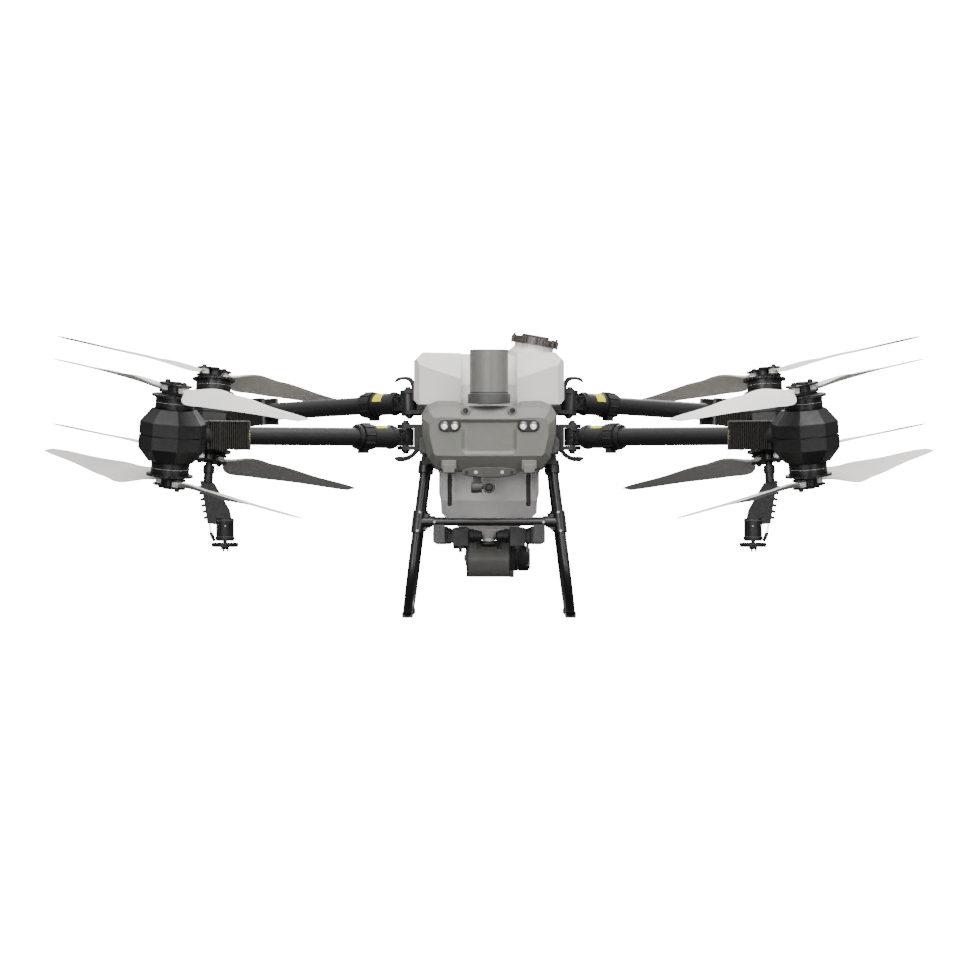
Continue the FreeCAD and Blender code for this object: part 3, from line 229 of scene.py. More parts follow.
# moulded: name, colour, roughness, grain per metre, depth of the grain, colour drift
MATERIALS = {
    "blade_ivory": moulded("blade_ivory", (0.83, 0.80, 0.74), 0.42, 1500, 0.12, 0.03, coat=0.12),
    "motor_black": moulded("motor_black", (0.010, 0.010, 0.011), 0.34, 1400, 0.12, 0.12, wear=0.5),
    "pod_black": moulded("pod_black", (0.0085, 0.0085, 0.0085), 0.5, 1100, 0.45, 0.12, wear=0.3),
    "carbon_tube": carbon("carbon_tube", (0.014, 0.014, 0.015)),
    "black_plastic": moulded("black_plastic", (0.008, 0.008, 0.0085), 0.46, 1200, 0.35,
                             0.12, wear=0.3),
    "frame_metal": moulded("frame_metal", (0.010, 0.010, 0.010), 0.48, 1000, 0.3, 0.1, wear=0.4),
    "shell_grey": moulded("shell_grey", (0.165, 0.164, 0.146), 0.5, 1300, 0.35, 0.04, coat=0.05),
    "tank_white": moulded("tank_white", (0.74, 0.715, 0.695), 0.46, 500, 0.25, 0.035),
    "bracket_grey": moulded("bracket_grey", (0.048, 0.047, 0.041), 0.45, 1200, 0.25, 0.06,
                            wear=0.3),
    "window_black": moulded("window_black", (0.005, 0.005, 0.006), 0.42, 1500, 0.03, 0.05),
    "radome_grey": moulded("radome_grey", (0.185, 0.183, 0.168), 0.42, 1500, 0.2, 0.03, coat=0.1),
    "gear_black": carbon("gear_black", (0.009, 0.009, 0.0095)),
    "lid_smoke": smoked("lid_smoke", (0.085, 0.070, 0.062)),
    "antenna_board": moulded("antenna_board", (0.03, 0.10, 0.05), 0.4, 600, 0.2),
    "battery_grey": moulded("battery_grey", (0.060, 0.060, 0.060), 0.5, 900, 0.4, 0.08, wear=0.3),

    "steel": metal("steel", (0.55, 0.55, 0.54), 0.3),
    "dark_steel": metal("dark_steel", (0.045, 0.045, 0.046), 0.35),
    "fin_olive": metal("fin_olive", (0.034, 0.033, 0.027), 0.5, metallic=0.4),
    "frame_alloy": metal("frame_alloy", (0.15, 0.147, 0.132), 0.45, metallic=0.5),
    "gold": metal("gold", (0.80, 0.60, 0.22), 0.25),
    "label_yellow": moulded("label_yellow", (0.80, 0.72, 0.0), 0.6, 900, 0.05, 0.02),
    "stripe_white": moulded("stripe_white", (0.62, 0.62, 0.60), 0.45, 900, 0.05, 0.03),
    "rubber": moulded("rubber", (0.014, 0.014, 0.014), 0.75, 700, 0.5, 0.12),
    "dark_grey": moulded("dark_grey", (0.038, 0.038, 0.039), 0.5, 1100, 0.35, 0.06, wear=0.2),
    "radome_base": moulded("radome_base", (0.060, 0.060, 0.058), 0.45, 1400, 0.2, 0.04),
    "lamp_warm": glowing("lamp_warm", (1.0, 0.90, 0.60), 1.0),
    "clear_pipe": clear("clear_pipe", (0.80, 0.82, 0.80)),
}


# ------------------------------------------------------------------ piece helpers

WELD_GAP = 0.00002
SPLIT_MARGIN = 8


def weld_seams(piece):
    """Joins the CAD mesh's doubled points, so that edges can be softened."""
    weld = piece.modifiers.new("weld", "WELD")
    weld.merge_threshold = WELD_GAP


def split_edges(piece, angle):
    """Keeps edges sharper than an angle crisp under smooth shading."""
    split = piece.modifiers.new("edges", "EDGE_SPLIT")
    split.split_angle = math.radians(angle)


def soften(piece, width, segments=3, angle=30):
    """Rounds every sharp edge a little, as moulding and machining do."""
    weld_seams(piece)
    bevel = piece.modifiers.new("bevel", "BEVEL")
    bevel.width = width
    bevel.segments = segments
    bevel.limit_method = "ANGLE"
    bevel.angle_limit = math.radians(angle)
    bevel.use_clamp_overlap = True
    bevel.miter_outer = "MITER_ARC"
    normals = piece.modifiers.new("normals", "WEIGHTED_NORMAL")
    normals.keep_sharp = True
    normals.weight = 80


def finish_piece(piece, body, material, bevel=0.0, segments=3, angle=30):
    """Material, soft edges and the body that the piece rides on."""
    piece.data.materials.clear()
    piece.data.materials.append(MATERIALS[material])
    for polygon in piece.data.polygons:
        polygon.use_smooth = True
    if bevel:
        soften(piece, bevel, segments, angle)
    else:
        split_edges(piece, angle + SPLIT_MARGIN)
    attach(piece, body)


def spot(x, y, z):
    """A point given in millimetres."""
    return Vector((x, y, z)) * MM


def build(name, fill):
    """A mesh object from a function that fills a bmesh."""
    grid = bmesh.new()
    fill(grid)
    bmesh.ops.recalc_face_normals(grid, faces=grid.faces)
    data = bpy.data.meshes.new(name)
    grid.to_mesh(data)
    grid.free()
    piece = bpy.data.objects.new(name, data)
    bpy.context.scene.collection.objects.link(piece)
    return piece


def loft(grid, rings, cap_start=True, cap_end=True, closed=True):
    """Skins a list of rings, each a list of points, with quads."""
    rows = [[grid.verts.new(point) for point in ring] for ring in rings]
    count = len(rows[0])
    last = count if closed else count - 1
    for low, high in zip(rows, rows[1:]):
        for i in range(last):
            j = (i + 1) % count
            grid.faces.new((low[i], low[j], high[j], high[i]))
    if cap_start:
        grid.faces.new(list(reversed(rows[0])))
    if cap_end:
        grid.faces.new(rows[-1])


def axes_to(direction):
    """A rotation that takes local Z to a direction."""
    return Vector(direction).normalized().to_track_quat("Z", "Y").to_matrix().to_4x4()


def turned_part(name, profile, base, direction, steps=48):
    """A body of revolution: profile is (radius, height) pairs in mm from base along direction."""
    place = Matrix.Translation(Vector(base)) @ axes_to(direction)

    def fill(grid):
        rings = []
        for radius, height in profile:
            ring = []
            for i in range(steps):
                angle = 2 * math.pi * i / steps
                point = spot(radius * math.cos(angle), radius * math.sin(angle), height)
                ring.append(place @ point)
            rings.append(ring)
        loft(grid, rings)
    return build(name, fill)


# corners 0 to 3 of a cuboid lie below corners 4 to 7, with x changing first
CUBOID_FACES = ((0, 2, 3, 1), (4, 5, 7, 6), (0, 1, 5, 4), (2, 6, 7, 3), (0, 4, 6, 2), (1, 3, 7, 5))


def cuboid(grid, low, high, place=None):
    """Eight corners and six faces, in millimetres, carried by a placement."""
    place = place or Matrix.Identity(4)
    corners = [grid.verts.new(place @ spot(x, y, z))
               for z in (low[2], high[2]) for y in (low[1], high[1]) for x in (low[0], high[0])]
    for face in CUBOID_FACES:
        grid.faces.new([corners[i] for i in face])


def trim(grid, point, normal):
    """Cuts a closed convex mesh with a plane and keeps the side behind the normal."""
    parts = grid.verts[:] + grid.edges[:] + grid.faces[:]
    cut = bmesh.ops.bisect_plane(grid, geom=parts, plane_co=point, plane_no=normal,
                                 clear_outer=True)
    edges = [item for item in cut["geom_cut"] if isinstance(item, bmesh.types.BMEdge)]
    bmesh.ops.edgeloop_fill(grid, edges=edges)


def plane_through(first, second, third, inside):
    """A point and an outward normal of the plane through three points."""
    normal = (second - first).cross(third - first).normalized()
    if normal.dot(inside - first) > 0:
        normal = -normal
    return first, normal


def boolean(base, others, operation):
    """Joins other pieces to a base or takes them away, and removes them."""
    for other in others:
        step = base.modifiers.new(operation, "BOOLEAN")
        step.operation = operation
        step.solver = "EXACT"
        step.object = other
    bpy.context.view_layer.update()
    graph = bpy.context.evaluated_depsgraph_get()
    result = bpy.data.meshes.new_from_object(base.evaluated_get(graph))
    base.modifiers.clear()
    base.data = result
    for other in others:
        bpy.data.objects.remove(other)
    grid = bmesh.new()
    grid.from_mesh(base.data)
    bmesh.ops.remove_doubles(grid, verts=grid.verts, dist=0.00005)
    bmesh.ops.dissolve_limit(grid, angle_limit=math.radians(1), verts=grid.verts, edges=grid.edges)
    grid.to_mesh(base.data)
    grid.free()


def mirrored(half):
    """A closed outline from the points of its right half, top to bottom."""
    return half + [(-x, z) for x, z in reversed(half) if x > 0]


def ring_at(half, y):
    """The whole outline of a half, as a ring of points across the aircraft."""
    return [spot(x, y, z) for x, z in mirrored(half)]


def outline_piece(name, outline, y, depth):
    """A flat outline of (x, z) points in mm, extruded backwards from y."""
    place = Matrix.Translation(spot(0, y, 0))

    def fill(grid):
        loft(grid, [[place @ spot(x, step, z) for x, z in outline] for step in (0, depth)])
    return build(name, fill)


def screw(name, place, direction, radius, body, material):
    """A domed screw head with a socket."""
    profile = [(radius, -0.5), (radius, radius * 0.42), (radius * 0.86, radius * 0.62),
               (radius * 0.45, radius * 0.66), (radius * 0.43, radius * 0.2)]
    piece = turned_part(name, profile, place, direction, 24)
    finish_piece(piece, body, material, angle=40)


# ------------------------------------------------------------------ carried-over CAD nodes

# width of the softened edges in metres, where a node needs more or less than the usual one
EDGE = {
    "spray_tank": 0.009, "center_frame": 0.002, "front_radome": 0.003, "rear_radome": 0.0022,
    "battery": 0.006, "battery_bay": 0.002, "pumps": 0.003, "lid_cap": 0.0015, "lid_ring": 0.0015,
    "gimbal_camera": 0.0008, "camera_bracket": 0.002, "arm_clips": 0.0016,
}
USUAL_EDGE = 0.0016
WIDE_EDGE = 0.004
BLADE_SPLIT = 50


def dress_cad_nodes():
    """Materials, smooth shading and soft edges for the nodes that keep their CAD shape."""
    slots = {part["node"]: part["material_slot"] for part in frame["record"]["subparts"]}
    for name, piece in frame["nodes"].items():
        mesh = piece.data
        if "custom_normal" in mesh.attributes:
            mesh.attributes.remove(mesh.attributes["custom_normal"])
        for polygon in mesh.polygons:
            polygon.use_smooth = True
        mesh.materials.clear()
        mesh.materials.append(MATERIALS[slots[name]])
        if name.startswith("blade_"):
            weld_seams(piece)
            split_edges(piece, BLADE_SPLIT)
        else:
            width = EDGE.get(name, USUAL_EDGE)
            soften(piece, width, 4 if width > WIDE_EDGE else 2, 28)


dress_cad_nodes()

# ------------------------------------------------------------------ nose

FACE_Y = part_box("nose_shell")[0][1] / MM
PANEL_DEPTH = 7
SCREW_TILT = (0, -1, 0.12)
LATCH_X = 110
LAMP_X = 108
LAMP_Z = 530
LAMP_GAP = 14
WINDOW_RADIUS = 16.5
WINDOW_PROUD = 4


def nose():
    """The shell: straight sides, two drawn-in bands, a flat face and its sunk middle panel."""
    back = [(0, 586), (64, 586), (92, 600), (142, 601), (172, 589), (187, 562), (187, 512),
            (172, 440), (148, 409), (90, 405), (0, 405)]
    waist = [(x * 0.985, 497 + (z - 497) * 0.985) for x, z in back]
    band = [(0, 572), (66, 572), (86, 580), (140, 582), (165, 571), (181, 549), (183, 512),
            (168, 442), (145, 414), (90, 409), (0, 409)]
    face = [(0, 549), (66, 549), (100, 552), (132, 553), (151, 550), (163, 534), (163, 505),
            (152, 456), (146, 448), (85, 447), (0, 447)]
    rim = [(0, 547), (60, 547), (93, 547), (91, 543), (88, 538), (82, 529), (76, 520), (76, 462),
           (71, 456), (62, 452), (0, 452)]
    panel = [(0, 538), (54, 538), (84, 539), (81, 536), (78, 532), (73, 525), (67, 517), (67, 470),
             (62, 464), (54, 461), (0, 461)]
    steps = ((back, 131), (waist, 52), (band, 25), (face, 0), (rim, 0), (panel, PANEL_DEPTH))

    def fill(grid):
        loft(grid, [ring_at(half, FACE_Y + behind) for half, behind in steps], cap_start=False)
    shell = build("nose_cover", fill)
    wall = shell.modifiers.new("wall", "SOLIDIFY")
    wall.thickness = 0.003
    wall.offset = -1
    finish_piece(shell, "root", "shell_grey", 0.006, 4, 14)
    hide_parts("nose_shell")
    for side, tag in SIDES:
        ear = turned_part("nose_ear_" + tag, [(13, -16), (13, 1), (11.5, 3), (7.5, 3), (7, 1)],
                          spot(side * 64, FACE_Y + 14, 571), SCREW_TILT, 40)
        finish_piece(ear, "root", "shell_grey", 0.0006, 2, 30)
        screw("nose_screw_" + tag, spot(side * 64, FACE_Y + 11, 571.4), SCREW_TILT, 6.5,
              "root", "dark_steel")
        screw("side_screw_" + tag, spot(side * 154, FACE_Y + 3, 533), (side * 0.3, -1, 0), 3.6,
              "root", "steel")
        latch(side, tag)
        corner_block(side, tag)


def latch(side, tag):
    """The stepped catch under the face and the black guide rod beneath it."""
    centre = side * LATCH_X

    def fill(grid):
        cuboid(grid, (centre - 21, FACE_Y - 2, 410), (centre + 21, FACE_Y + 24, 436))
        cuboid(grid, (centre - 16, FACE_Y - 6, 400), (centre + 16, FACE_Y + 20, 425))
    piece = build("latch_" + tag, fill)
    finish_piece(piece, "root", "shell_grey", 0.003, 3)
    low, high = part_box("camera_bracket")
    foot = Vector((side * (high[0] - 0.005), high[1] - 0.008, low[2] - 0.008))
    guide = turned_part("guide_rod_" + tag, [(3, 0), (6, 3), (6, 86), (3, 89)], foot, UP, 24)
    finish_piece(guide, "root", "rubber")


def corner_block(side, tag):
    """The dark grey cover over the frame's front corner."""
    centre = side * 172

    def fill(grid):
        cuboid(grid, (centre - 21.5, FACE_Y + 38, 451), (centre + 21.5, FACE_Y + 98, 503))
        trim(grid, spot(side * 193, 0, 492), Vector((side * 0.7, 0, 0.7)))
        trim(grid, spot(side * 178, 0, 451), Vector((side * 0.5, 0, -0.85)))
    piece = build("corner_block_" + tag, fill)
    finish_piece(piece, "root", "dark_grey", 0.0035, 3)


def lamps():
    """Capsule windows, each with two bright reflectors."""
    reflector = [(10.5, -1), (10.5, 1.2), (9.6, 1.8), (8.6, 1.2), (4.6, 0.2)]
    emitter = [(5.4, 0), (5.2, 1.4), (3.4, 2.8), (1.0, 3.3)]
    front = FACE_Y - WINDOW_PROUD
    for side, tag in SIDES:
        centre = LAMP_X * side
        outline = []
        for i in range(40):
            angle = 2 * math.pi * i / 40
            shift = LAMP_GAP if math.cos(angle) > 0 else -LAMP_GAP
            outline.append((centre + shift + WINDOW_RADIUS * math.cos(angle),
                            LAMP_Z + WINDOW_RADIUS * math.sin(angle)))
        window = outline_piece("lamp_window_" + tag, outline, front, 9)
        finish_piece(window, "root", "window_black", 0.0022, 3)
        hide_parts("vision_windows")
        for index, shift in enumerate((-LAMP_GAP, LAMP_GAP)):
            place = spot(centre + shift, front, LAMP_Z)
            name = "lamp_%s_%d" % (tag, index + 1)
            cup = turned_part(name + "_reflector", reflector, place, FORWARD, 36)
            finish_piece(cup, "root", "steel")
            core = turned_part(name + "_emitter", emitter, place, FORWARD, 28)
            finish_piece(core, "root", "lamp_warm")


# ------------------------------------------------------------------ tank

TANK_LOW, TANK_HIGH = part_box("spray_tank")
TANK_FRONT = TANK_LOW[1] / MM
TANK_REAR = TANK_HIGH[1] / MM
TANK_HALF = TANK_HIGH[0] / MM
BELLY_FRONT = TANK_FRONT + 20
SADDLE_LOW = 591
SADDLE_TOP = 736
RECESS_HALF = 78
SHOULDER_Z = 704


def tank_lobe(side):
    """One side of the saddle, with its sloping top and its facetted shoulder."""
    ridge = TANK_FRONT + 30
    front_corner = TANK_FRONT + 16
    rear_corner = TANK_REAR - 26
    facets = (
        ((TANK_HALF, 0, 711), (TANK_HALF, 50, 711), (184, 0, SADDLE_TOP)),
        ((206, TANK_FRONT, 705), (80, TANK_FRONT, 662), (80, ridge, SHOULDER_Z)),
        ((184, ridge, SADDLE_TOP), (80, ridge, SHOULDER_Z), (80, TANK_FRONT + 112, SADDLE_TOP)),
        ((TANK_HALF, front_corner, 0), (TANK_HALF - 16, TANK_FRONT, 0),
         (TANK_HALF, front_corner, 50)),
        ((TANK_HALF, rear_corner, 0), (TANK_HALF - 26, TANK_REAR, 0), (TANK_HALF, rear_corner, 50)),
        ((TANK_HALF, 0, 603), (TANK_HALF, 50, 603), (TANK_HALF - 12, 0, SADDLE_LOW)),
    )

    def fill(grid):
        inner, outer = sorted((side * RECESS_HALF, side * TANK_HALF))
        cuboid(grid, (inner, TANK_FRONT, SADDLE_LOW), (outer, TANK_REAR, SADDLE_TOP))
        inside = spot(side * 140, 0, 640)
        for points in facets:
            first, second, third = (spot(side * x, y, z) for x, y, z in points)
            trim(grid, *plane_through(first, second, third, inside))
    return build("tank_lobe", fill)


def tank():
    """Saddle lobes, the middle behind the radome and the deep belly, as one skin with a neck."""
    def middle(grid):
        cuboid(grid, (-RECESS_HALF - 4, TANK_FRONT + 62, SADDLE_LOW),
               (RECESS_HALF + 4, TANK_REAR, SADDLE_TOP))
        trim(grid, spot(0, TANK_FRONT + 62, 647), Vector((0, -0.90, 0.44)))
        trim(grid, spot(0, TANK_FRONT + 84, 692), Vector((0, -0.37, 0.93)))

    def belly(grid):
        half = [(0, 610), (139, 610), (139, 345), (134, 324), (133, 290), (104, 262), (58, 237),
                (0, 237)]
        loft(grid, [ring_at(half, BELLY_FRONT), ring_at(half, TANK_REAR - 15)])
        slope = (spot(0, BELLY_FRONT, 325), spot(50, BELLY_FRONT, 325),
                 spot(0, TANK_FRONT + 75, 250))
        trim(grid, *plane_through(*slope, spot(0, 0, 400)))

    def pocket(grid):
        cuboid(grid, (-94, TANK_FRONT, 334), (94, TANK_FRONT + 27, 560))
    body = build("tank_skin", belly)
    boolean(body, [build("tank_middle", middle)] + [tank_lobe(side) for side, _ in SIDES], "UNION")
    ring = Vector(JOINTS["lid_ring"]["pos_m"])
    axis = Vector(JOINTS["lid_ring"]["axis"]).normalized()
    collar = [(71, -62), (70, -34), (64, -28), (58, -22), (55, -16), (55, -1)]
    boolean(body, [turned_part("tank_neck", collar, ring, axis, 64)], "UNION")
    well = turned_part("tank_well", [(50, -170), (50, 20)], ring, axis, 64)
    boolean(body, [build("tank_pocket", pocket), well], "DIFFERENCE")
    finish_piece(body, "root", "tank_white", 0.007, 4, 16)
    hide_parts("spray_tank")


# ------------------------------------------------------------------ radome and camera

PLATE_Z = 402
PLATE_HALF = 74


def radome_ring():
    """The darker base ring of the upright radome and the seam above it."""
    low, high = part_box("front_radome")
    centre = Vector(((low[0] + high[0]) / 2, (low[1] + high[1]) / 2, low[2]))
    profile = [(57, 0.2), (58.6, 1.5), (58.6, 24.5), (57.6, 26.4), (53.4, 27)]
    base = turned_part("radome_ring", profile, centre, UP, 72)
    finish_piece(base, "root", "radome_base")
    profile = [(53.2, 28), (53.6, 29), (53.6, 30.5), (53.2, 31.5)]
    seam = turned_part("radome_seam", profile, centre, UP, 72)
    finish_piece(seam, "root", "radome_base")


def camera_details():
    """The crescent plate under the nose, its screws, the lens barrel and the tilt motor's cover."""
    steps = 24
    front = FACE_Y - 5
    leftward = [1 - 2 * i / steps for i in range(steps + 1)]
    rightward = [-1 + 2 * i / steps for i in range(steps + 1)]
    upper = [(PLATE_HALF * t, 416 - 7 * t ** 4) for t in leftward]
    lower = [(PLATE_HALF * t, 388 + 8 * t * t) for t in rightward]
    plate = outline_piece("camera_plate", upper + lower, front, 9)
    finish_piece(plate, "root", "bracket_grey", 0.002, 3)
    for side, tag in SIDES:
        screw("plate_screw_outer_" + tag, spot(side * 62, front, PLATE_Z), FORWARD, 4.6,
              "root", "dark_steel")
        screw("plate_screw_inner_" + tag, spot(side * 36, front, PLATE_Z), FORWARD, 5,
              "root", "stripe_white")
    eye = Vector(JOINTS["gimbal_camera"]["pos_m"])
    profile = [(12, 4), (15.5, 8), (15.5, 17), (13.5, 20), (11.5, 20), (10.5, 17)]
    barrel = turned_part("lens_barrel", profile, eye, FORWARD, 40)
    finish_piece(barrel, "gimbal_camera", "bracket_grey")
    profile = [(10.8, 16), (9.5, 18.5), (6.5, 20), (2.5, 20.8)]
    glass = turned_part("lens_glass", profile, eye, FORWARD, 36)
    finish_piece(glass, "gimbal_camera", "window_black")
    housing = turned_part("tilt_motor_cover", [(13, -8), (15, -5), (15, 12), (13, 15), (6, 15.5)],
                          eye + spot(-34, 0, 0), (-1, 0, 0), 36)
    finish_piece(housing, "root", "bracket_grey")


# ------------------------------------------------------------------ arms, pods and rotors

ESC_OUTER = 130
ESC_LENGTH = 86
ESC_HALF = 34.6
ESC_CORE = 28
ESC_TALL = 36.6
FIN_COUNT = 13
OUTER_FINS = 5
CONTACTS = 4
POD_HOLE_TURN = 97
POD_HOLES = (("top", 30), ("low", -46))
BELL_FOOT = 73
BELL_TOP = 104
CLAMP_TOP = 17
HINGE_REACH = 41


def frame_of(origin, along, up):
    """A placement with X along the arm and Z as near the given direction as it can be."""
    side = up.cross(along).normalized()
    top = along.cross(side).normalized()
    place = Matrix((along, side, top)).transposed().to_4x4()
    return Matrix.Translation(origin) @ place


def upward(vector):
    """A unit vector along a joint's axis, turned to point up."""
    axis = Vector(vector).normalized()
    return -axis if axis.z < 0 else axis


def arm_frames(name):
    """Placements at an arm's hinge and at its motors, the motors' axis and the arm's length."""
    hinge = Vector(JOINTS["arm_" + name]["pos_m"])
    motor = JOINTS["rotor_" + name + "_upper"]
    centre = Vector(motor["pos_m"])
    along = (centre - hinge).normalized()
    up = upward(motor["axis"])
    length = (centre - hinge).length / MM
    return frame_of(hinge, along, Vector(UP)), frame_of(centre, along, up), up, length


def heat_sink(name, place, length):
    """Olive fins on both faces, light alloy rails and end frames, and gold contacts."""
    start = length - ESC_OUTER - ESC_LENGTH
    end = start + ESC_LENGTH

    def fins(grid):
        pitch = ESC_LENGTH / FIN_COUNT
        for side, _ in SIDES:
            for i in range(FIN_COUNT + OUTER_FINS):
                x = start + i * pitch
                low, high = sorted((side * ESC_CORE, side * ESC_HALF))
                cuboid(grid, (x, low, -ESC_TALL), (x + pitch * 0.5, high, ESC_TALL), place)
        cuboid(grid, (end + 7, -ESC_CORE, -ESC_TALL), (end + 38, ESC_CORE, ESC_TALL), place)

    def rails(grid):
        for side, _ in SIDES:
            low, high = sorted((side * 27, side * 36))
            cuboid(grid, (start - 5, low, ESC_TALL), (end + 36, high, ESC_TALL + 4), place)
            cuboid(grid, (start - 9, low, -ESC_TALL - 2), (start - 1, high, ESC_TALL + 3), place)

    def contacts(grid):
        for side, _ in SIDES:
            for i in range(CONTACTS):
                low, high = sorted((side * 35.8, side * 36.9))
                z = -10 + 6.5 * i
                cuboid(grid, (start - 7, low, z), (start - 3, high, z + 4.6), place)
    for stem, fill, material, bevel in (("fins_", fins, "fin_olive", 0.0004),
                                        ("sink_frame_", rails, "frame_alloy", 0.0014),
                                        ("contacts_", contacts, "gold", 0.0004)):
        finish_piece(build(stem + name, fill), "arm_" + name, material, bevel, 2)


def label_patch(name, place):
    """A plain yellow band over part of the root sleeve, longer on the front arms."""
    start, end, first, last = (73, 150, 50, 130) if "front" in name else (80, 116, 15, 165)
    steps = 14

    def fill(grid):
        rings = []
        for radius, x in ((31.1, start), (31.7, start + 0.6), (31.7, end - 0.6), (31.1, end)):
            ring = []
            for i in range(steps + 1):
                angle = math.radians(first + (last - first) * i / steps)
                ring.append(place @ spot(x, radius * math.cos(angle), radius * math.sin(angle)))
            rings.append(ring)
        loft(grid, rings, False, False, closed=False)
    piece = build("label_" + name, fill)
    thick = piece.modifiers.new("thickness", "SOLIDIFY")
    thick.thickness = 0.0004
    finish_piece(piece, "arm_" + name, "label_yellow")


def pod_details(name, pod, up):
    """Dark screw holes in the barrel's front facets, and the rotors' rings, stripes and screws."""
    turn = math.radians(POD_HOLE_TURN if "left" in name else -POD_HOLE_TURN)
    out = (pod.to_3x3() @ Vector((math.cos(turn), math.sin(turn), 0))).normalized()
    barrel = bpy.data.objects["motor_pod_" + name]
    to_barrel = barrel.matrix_world.inverted()
    for tag, z in POD_HOLES:
        start = to_barrel @ (pod.translation + up * z * MM + out * 0.2)
        _, place, normal, _ = barrel.ray_cast(start, to_barrel.to_3x3() @ -out)
        hole = turned_part("pod_hole_%s_%s" % (name, tag),
                           [(5.4, -2), (5.4, 0.4), (4.6, 0.7), (4.2, -1.5)],
                           barrel.matrix_world @ place, barrel.matrix_world.to_3x3() @ normal, 28)
        finish_piece(hole, "arm_" + name, "window_black")
    centre = pod.translation
    for level, sign in (("upper", 1), ("lower", -1)):
        body = "rotor_%s_%s" % (name, level)
        for tag, foot, tall, material in (("foot", BELL_FOOT + 1, 4, "dark_steel"),
                                          ("stripe", BELL_FOOT + 15, 1.1, "stripe_white"),
                                          ("crown", BELL_TOP - 5, 3.5, "dark_steel")):
            profile = [(51.3, foot), (52.1, foot + 0.3), (52.1, foot + tall - 0.3),
                       (51.3, foot + tall)]
            ring = turned_part("bell_%s_%s_%s" % (tag, name, level), profile, centre, up * sign, 72)
            finish_piece(ring, body, material)
        for blade in (1, 2):
            joint = JOINTS["blade_%s_%s_%d" % (name, level, blade)]
            pin = Vector(joint["pos_m"]) + up * sign * CLAMP_TOP * MM
            screw("pin_screw_%s_%s_%d" % (name, level, blade), pin, up * sign, 6.4,
                  body, "dark_steel")


def hinge_details(name, hinge):
    """The hinge pin's cap screws, the ribbed core inboard of it and the root fitting's ribs."""
    axis = upward(JOINTS["arm_" + name]["axis"])
    centre = hinge.translation
    for tag, sign in (("top", 1), ("low", -1)):
        screw("hinge_screw_%s_%s" % (name, tag), centre + axis * sign * HINGE_REACH * MM,
              axis * sign, 8, "root", "dark_steel")

    inward = frame_of(centre, Vector((-math.copysign(1, centre.x), 0, 0)), axis)

    def block(grid):
        cuboid(grid, (22.5, -19, -24), (52, 19, 24), inward)
        for z in (-17, 0, 17):
            cuboid(grid, (30, -22, z - 5), (50, 22, z + 5), inward)
    core = build("hinge_core_" + name, block)
    finish_piece(core, "root", "frame_metal", 0.0015, 2)

    def ribs(grid):
        for side, _ in SIDES:
            low, high = sorted((side * 17, side * 21))
            for z in (-21, -2, 17):
                cuboid(grid, (8, low, z), (44, high, z + 4), hinge)
            for x in (8, 25, 41):
                cuboid(grid, (x, low, -21), (x + 3.5, high, 21), hinge)
            for x, z, lean in ((18, 10, 45), (18, -8, -45), (35, 10, -45), (35, -8, 45)):
                tilt = Matrix.Rotation(math.radians(lean), 4, "Y")
                place = hinge @ (Matrix.Translation(spot(x, 0, z)) @ tilt)
                cuboid(grid, (-11, low, -1.6), (11, high, 1.6), place)
    piece = build("lattice_" + name, ribs)
    finish_piece(piece, "arm_" + name, "black_plastic", 0.0008, 2)


def lance_details(side, name):
    """The clear feed pipe, its elbow and the nozzle motor's trim, fixed to the lance."""
    body = "arm_rear_" + name
    spin = Vector(JOINTS["spray_disc_" + name]["pos_m"])
    pipe = turned_part("feed_pipe_" + name, [(3.4, 0), (3.4, 30), (2.6, 31)],
                       spin + spot(side * 45, 0, 62), (-side * 0.12, 0, -1), 24)
    finish_piece(pipe, body, "clear_pipe")
    elbow = turned_part("feed_elbow_" + name, [(4.2, 0), (5.6, 3), (5.6, 18), (4.4, 20), (4.4, 28)],
                        spin + spot(side * 42, 0, 36), (-side * 0.42, 0, -1), 28)
    finish_piece(elbow, body, "black_plastic")
    for tag, z, radius in (("low", 18, 27.6), ("top", 68, 27.4)):
        profile = [(radius - 0.8, 0), (radius, 1), (radius, 5), (radius - 0.8, 6)]
        band = turned_part("nozzle_band_%s_%s" % (name, tag), profile, spin + spot(0, 0, z), UP, 48)
        finish_piece(band, body, "dark_grey")
    screw("nozzle_screw_" + name, spin + spot(-side * 2, -26.5, 55), FORWARD, 2.4,
          body, "stripe_white")


# ------------------------------------------------------------------ clips, pumps, radar motor, lid

UPPER_HORN = [(-266, 660), (-262, 667), (-254, 671), (-244, 673), (-227, 673), (-218, 670),
              (-212, 662), (-209, 650), (-206, 640), (-206, 604), (-217, 604), (-218, 640),
              (-221, 652), (-226, 660), (-233, 664), (-245, 665), (-253, 662), (-260, 658),
              (-265, 656)]
LOWER_HORN = [(-268, 445), (-260, 448), (-250, 448.5), (-243, 448), (-233, 449), (-222, 454.5),
              (-213, 463), (-207, 473), (-200, 482), (-158, 488), (-158, 468), (-190, 466),
              (-201, 459), (-209, 449), (-226, 438), (-242, 434), (-256, 434), (-264, 438)]
PUMP_END_X = 134
GRIP_COUNT = 6


def storage_clips():
    """Curved horns on the body's sides that the folded arm tubes rest in."""
    for side, tag in SIDES:
        for level, outline in (("upper", UPPER_HORN), ("lower", LOWER_HORN)):
            points = [(-side * x, z) for x, z in outline]
            horn = outline_piece("clip_%s_%s" % (level, tag), points, -2, 24)
            finish_piece(horn, "root", "black_plastic", 0.003, 3)
            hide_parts("arm_clips")


